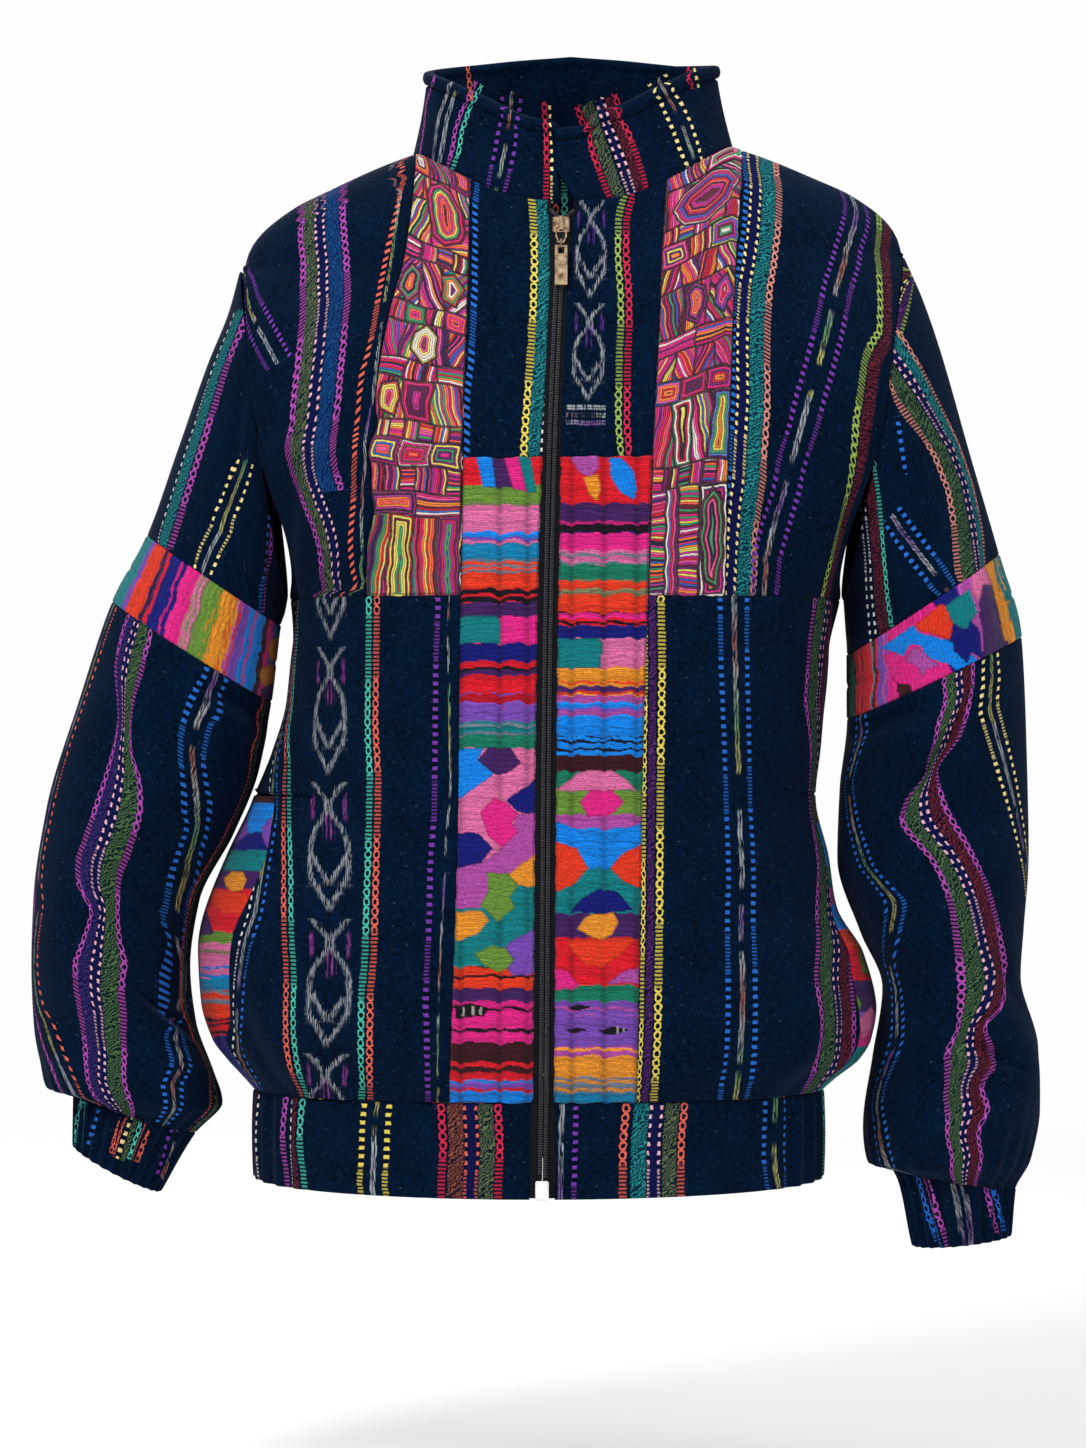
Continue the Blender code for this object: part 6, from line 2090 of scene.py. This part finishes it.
# The stand collar is doubled cloth sewn to the neck seam, its rim rolled outwards over a stitched
# groove. Its two front edges stand apart above the zip.
COLLAR_RIM_HEIGHT = [(0, 8), (20, 12), (45, 27), (70, 42), (90, 50), (120, 59), (150, 65), (180, 68)]
COLLAR_FRONT_EDGES = [(0, -13.3, 0.0), (0.2, -13.1, -5.2), (0.42, -12.9, -10.3), (1, -12.4, -11.5)]
COLLAR_PROFILE = [
    (0.0, 0.0, 0.0),
    (0.12, 0.45, 0.0),
    (0.22, 0.81, 0.0),
    (0.245, 0.835, 1.3),
    (0.27, 0.86, -1.2),
    (0.32, 0.93, -2.7),
    (0.37, 0.985, -2.2),
    (0.41, 1.0, -0.6),
    (0.46, 1.005, 1.6),
    (0.5, 1.0, 3.2),
    (0.54, 0.94, 4.6),
    (0.6, 0.85, 3.2),
    (0.8, 0.45, 3.0),
    (1.0, 0.0, 3.0),
]


def collar_base(turn):
    """The neck seam under the collar, on the body's surface at each turn."""
    behind = np.abs(turn) > 90
    side = np.sin(np.radians(turn))
    low = np.zeros(turn.shape)
    high = np.full(turn.shape, 140.0)
    for _ in range(40):
        reach = (low + high) / 2
        distance = np.minimum(np.abs(reach * side), NECK_SIDE)
        ahead = np.abs(reach * np.cos(np.radians(turn)))
        height = np.where(behind, top_height(distance, True), top_height(distance, False))
        _, half, depth, power = ring(height, behind)
        inside = (distance < NECK_SIDE) & ((distance / half) ** power + (ahead / depth) ** power < 1)
        low, high = np.where(inside, reach, low), np.where(inside, high, reach)
    lean = SHOULDER_LEAN * reach * side
    return np.stack([reach * side, -reach * np.cos(np.radians(turn)), height + lean + 0.5], axis=-1)


turn = np.linspace(355.0, 5.0, 241)
turn = np.where(turn > 180, turn - 360, turn)
side = np.sin(np.radians(turn))
ahead = np.cos(np.radians(turn))
reach = ((side / 92.0) ** 2 + (ahead / np.where(ahead > 0, 71.0, 62.0)) ** 2) ** -0.5
corner_dip = 5.0 * np.clip(1 - (np.abs(turn) - 5) / 7, 0, 1) ** 2
left_rise = np.interp(turn, [5, 14, 39, 65, 90, 120], [0, 6.5, 7, 7, 4, 0])
rim_height = read_table(COLLAR_RIM_HEIGHT, np.abs(turn))[0] - corner_dip + left_rise
rim = np.stack([-1 + reach * side, -2 - reach * ahead, rim_height], axis=-1)
base = collar_base(turn)
along = np.concatenate([np.linspace(0, 0.24, 22), np.linspace(0.25, 0.6, 36), np.linspace(0.62, 1, 18)])
share, depth = read_table(COLLAR_PROFILE, along)[:, ::-1, None]
points = base[None] * (1 - share[..., None]) + rim[None] * share[..., None]
outwards = points * np.array([1, 1, 0])
outwards = outwards / np.linalg.norm(outwards, axis=-1, keepdims=True)
points = points - outwards * (np.sin(pi * np.clip(share, 0, 1)) + depth)[..., None]
front_x = read_table(COLLAR_FRONT_EDGES, share[:, 0])
points[:, 0, 0] = front_x[0]
points[:, -1, 0] = front_x[1]
COLLAR_STRIPES = [
    ([("chain", "magenta", 0, 3.8, 0.1)], [(431, 88), (426, 104), (424, 126), (420, 152)]),
    (
        [("ikat", None, -4.0, 5.0, 0.1), ("ikat", None, 4.0, 5.0, 0.0)],
        [(450, 96), (442, 120), (436, 158)],
    ),
    (
        [("chain", "magenta", -3.0, 3.8, 0.1), ("chain", "teal", 2.2, 3.8, 0.12)],
        [(474, 94), (466, 110), (459, 130), (456, 150), (450, 168)],
    ),
    (
        [
            ("dots", "purple", -6.6, 3.0, 0.2), ("ikat", None, 0, 3.6, 0.5),
            ("dots", "purple", 6.2, 3.0, 0.2),
        ],
        [(511, 104), (508.5, 125), (505, 150), (497, 185)],
    ),
    (
        [("chain", "crimson", -0.6, 4.2, 0.2), ("dots", "cream", 2.8, 1.8, 0.2)],
        [(545.5, 112), (547, 135), (547.5, 165), (547, 200)],
    ),
    (
        [
            ("chain", "crimson", -12.6, 4.6, 0.2), ("twill", "olive", -6.0, 7.8),
            ("dots", "pinkish", 0.4, 2.0, 0.2), ("twill", "indigo", 2.8, 3.0),
            ("dots", "pinkish", 5.2, 2.0, 0.2), ("twill", "wine", 9.4, 6.0),
            ("chain", "crimson", 14.0, 4.4, 0.3),
        ],
        [(599, 112), (606, 133), (615, 157), (625, 186)],
    ),
    (
        [
            ("dash", "cream", -7.4, 3.0, 0.1), ("ikat", None, 0, 3.6, 0.5),
            ("dash", "cream", 7.0, 3.0, 0.1),
        ],
        [(664, 90), (674, 108), (684, 130), (693, 156)],
    ),
    ([("chain", "coral", 0, 4.4, 0.3)], [(467, 62), (470, 88)]),
    ([("dash", "cream", 0, 3.4, 0.3), ("chain", "crimson", -7.0, 4.0, 0.3)], [(692, 58), (696, 76)]),
]
tucked = points[[0, -1]] - outwards[[0, -1]] * 1.2 - np.array([0, 0, 3.2])
points = np.concatenate([tucked[:1], points, tucked[1:]])
laid = lay_cloth(points, seams="first last")
sew_striped("collar", laid, COLLAR_STRIPES, "hung", slanting=True, thickness=0)

# The zip: two black woven tapes whose edges run under the cloth, a nylon coil on each, a slider of aged
# brass with its link and tab, and a white moulded box at the foot.
tape, tree, shader = begin_material("zip_tape_weave")
across, along = read_weave(tree)
ribs = (along + across * 0.5).wave(0.0011)
fluff = noise(tree, across, along, 900.0, 900.0)
tone = ribs * 0.5 + fluff * 0.6
connect(tree, shade(tree, tone.ramp(0.2, 0.9), yarn(11, 13, 19), 0.4, 1.7), shader.inputs["Base Color"])
raise_relief(tree, tone, 0.6, 0.0005)
set_finish(shader, roughness=0.8, specular=0.1)


def solid_noise(tree, scale, detail=2.0):
    """Noise through a hard piece."""
    place = tree.nodes.new("ShaderNodeTexCoord")
    made = tree.nodes.new("ShaderNodeTexNoise")
    made.inputs["Scale"].default_value = scale
    made.inputs["Detail"].default_value = detail
    tree.links.new(place.outputs["Object"], made.inputs["Vector"])
    return Value(tree, made.outputs[0])


nylon, tree, shader = begin_material("nylon_coil")
# The lighter grey flecks on the black nylon are painted glints; the same noise also varies its roughness.
rubbing_and_glint_noise = solid_noise(tree, 700.0)
black_with_painted_glints = blend_colour(tree, rubbing_and_glint_noise.ramp(0.45, 0.7), yarn(12, 13, 16), yarn(36, 38, 43))
connect(tree, black_with_painted_glints, shader.inputs["Base Color"])
connect(tree, rubbing_and_glint_noise * 0.3 + 0.2, shader.inputs["Roughness"])

COIL_PITCH = 1.55
TOOTH_RISE = [(-0.6, 0.0), (-0.44, 0.6), (0.0, 0.85), (0.44, 0.6), (0.6, 0.0)]
for side_name, side in (("right", -1), ("left", 1)):
    down = np.linspace(0, 1, 330)[:, None]
    share = np.array([0.0, 0.06, 0.2, 0.34, 0.42, 0.46, 0.6, 0.8, 1.0, 1.18])[None, :]
    share = share if side > 0 else share[:, ::-1]
    height = mix(-41.5, -658.0, down**1.1)
    parting = read_table(ZIP_PARTING, height)[0]
    edge = ZIP_HALF_WIDTH + 0.35 * (parting - 0.15) - 0.3
    x = read_table(ZIP_LINE, height)[0] + side * mix(parting, edge, share)
    surface_height = np.maximum(height, WAIST_SEAM + 0.5) + 0 * x
    grid = body_points(turn_at(x, surface_height), surface_height)
    grid[..., 2] = height
    bead = 0.8 * np.sin(pi * np.clip(share / 0.44, 0, 1)) ** 0.4
    rise = np.where(share < 0.44, bead, -0.6 - 1.2 * np.clip(share - 0.8, 0, 1) / 0.38) + 0 * x
    laid = lay_cloth(grid, relief=rise, seams="")
    sew_cloth(f"zip_tape_{side_name}", laid, tape, "zip_tape", None, thickness=0.7)

    middle = 2 if side > 0 else share.shape[1] - 3
    lengths = laid[3][:, middle]
    spots = np.arange(6.0, lengths[-1] - 14.0, COIL_PITCH) + (COIL_PITCH / 2 if side > 0 else 0)
    centres = np.stack([np.interp(spots, lengths, laid[0][:, middle, axis]) for axis in range(3)], axis=-1)
    outward = np.stack([np.interp(spots, lengths, laid[1][:, middle, axis]) for axis in range(3)], axis=-1)
    ahead = np.gradient(centres, axis=0)
    ahead = ahead / np.linalg.norm(ahead, axis=-1, keepdims=True)
    beside = np.cross(ahead, outward)
    verts = []
    for reach, lift in ((-1.55, 0.2), (-1.2, 0.85), (0.9, 0.85), (1.3, 0.2)):
        for forward, rise in TOOTH_RISE:
            out = rise * lift - 0.35
            verts.append(centres + beside * reach + ahead * forward * 0.95 + outward * out)
    verts = np.stack(verts, axis=1).reshape(-1, 3)
    faces = []
    for tooth in range(len(spots)):
        for ring_index in range(3):
            for k in range(4):
                a = tooth * 20 + ring_index * 5 + k
                faces.append((a, a + 1, a + 6, a + 5))
        faces.append(tuple(tooth * 20 + k for k in (4, 3, 2, 1, 0)))
        faces.append(tuple(tooth * 20 + 15 + k for k in range(5)))
    coil_mesh = bpy.data.meshes.new(f"zip_coil_{side_name}")
    coil_mesh.from_pydata((verts / 1000).tolist(), [], faces)
    coil_mesh.shade_smooth()
    coil_mesh.materials.append(nylon)
    coil = bpy.data.objects.new(f"zip_coil_{side_name}", coil_mesh)
    bpy.context.scene.collection.objects.link(coil)
    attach(coil, "jacket")


def moulded(name, low, high, share, dark):
    """A worn hard finish: the base colour in lighter and darker patches, darkest where the patches are
    lowest, with fine scratches in its roughness and relief.
    """
    material, tree, shader = begin_material(name)
    patch = solid_noise(tree, 260.0, detail=4.0)
    scratch = solid_noise(tree, 1800.0)
    worn = blend_colour(tree, patch.ramp(0.35, 0.65), low, high)
    stained = blend_colour(tree, patch.ramp(0.42, 0.3) * share, worn, dark)
    connect(tree, stained, shader.inputs["Base Color"])
    connect(tree, patch * 0.25 + scratch * 0.15 + 0.12, shader.inputs["Roughness"])
    raise_relief(tree, scratch + patch, 0.25, 0.0002)
    return material


aged_brass = moulded("aged_brass", yarn(168, 140, 112), yarn(205, 178, 146), 0.6, yarn(84, 64, 50))
aged_brass.node_tree.nodes["Principled BSDF"].inputs["Metallic"].default_value = 0.9
white_box = moulded("white_box", yarn(226, 226, 224), yarn(240, 240, 238), 0.25, yarn(190, 188, 184))
for node in ("zip_slider", "pull_link", "pull_tab", "zip_box"):
    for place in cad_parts[node].material_slots:
        place.material = white_box if node == "zip_box" else aged_brass
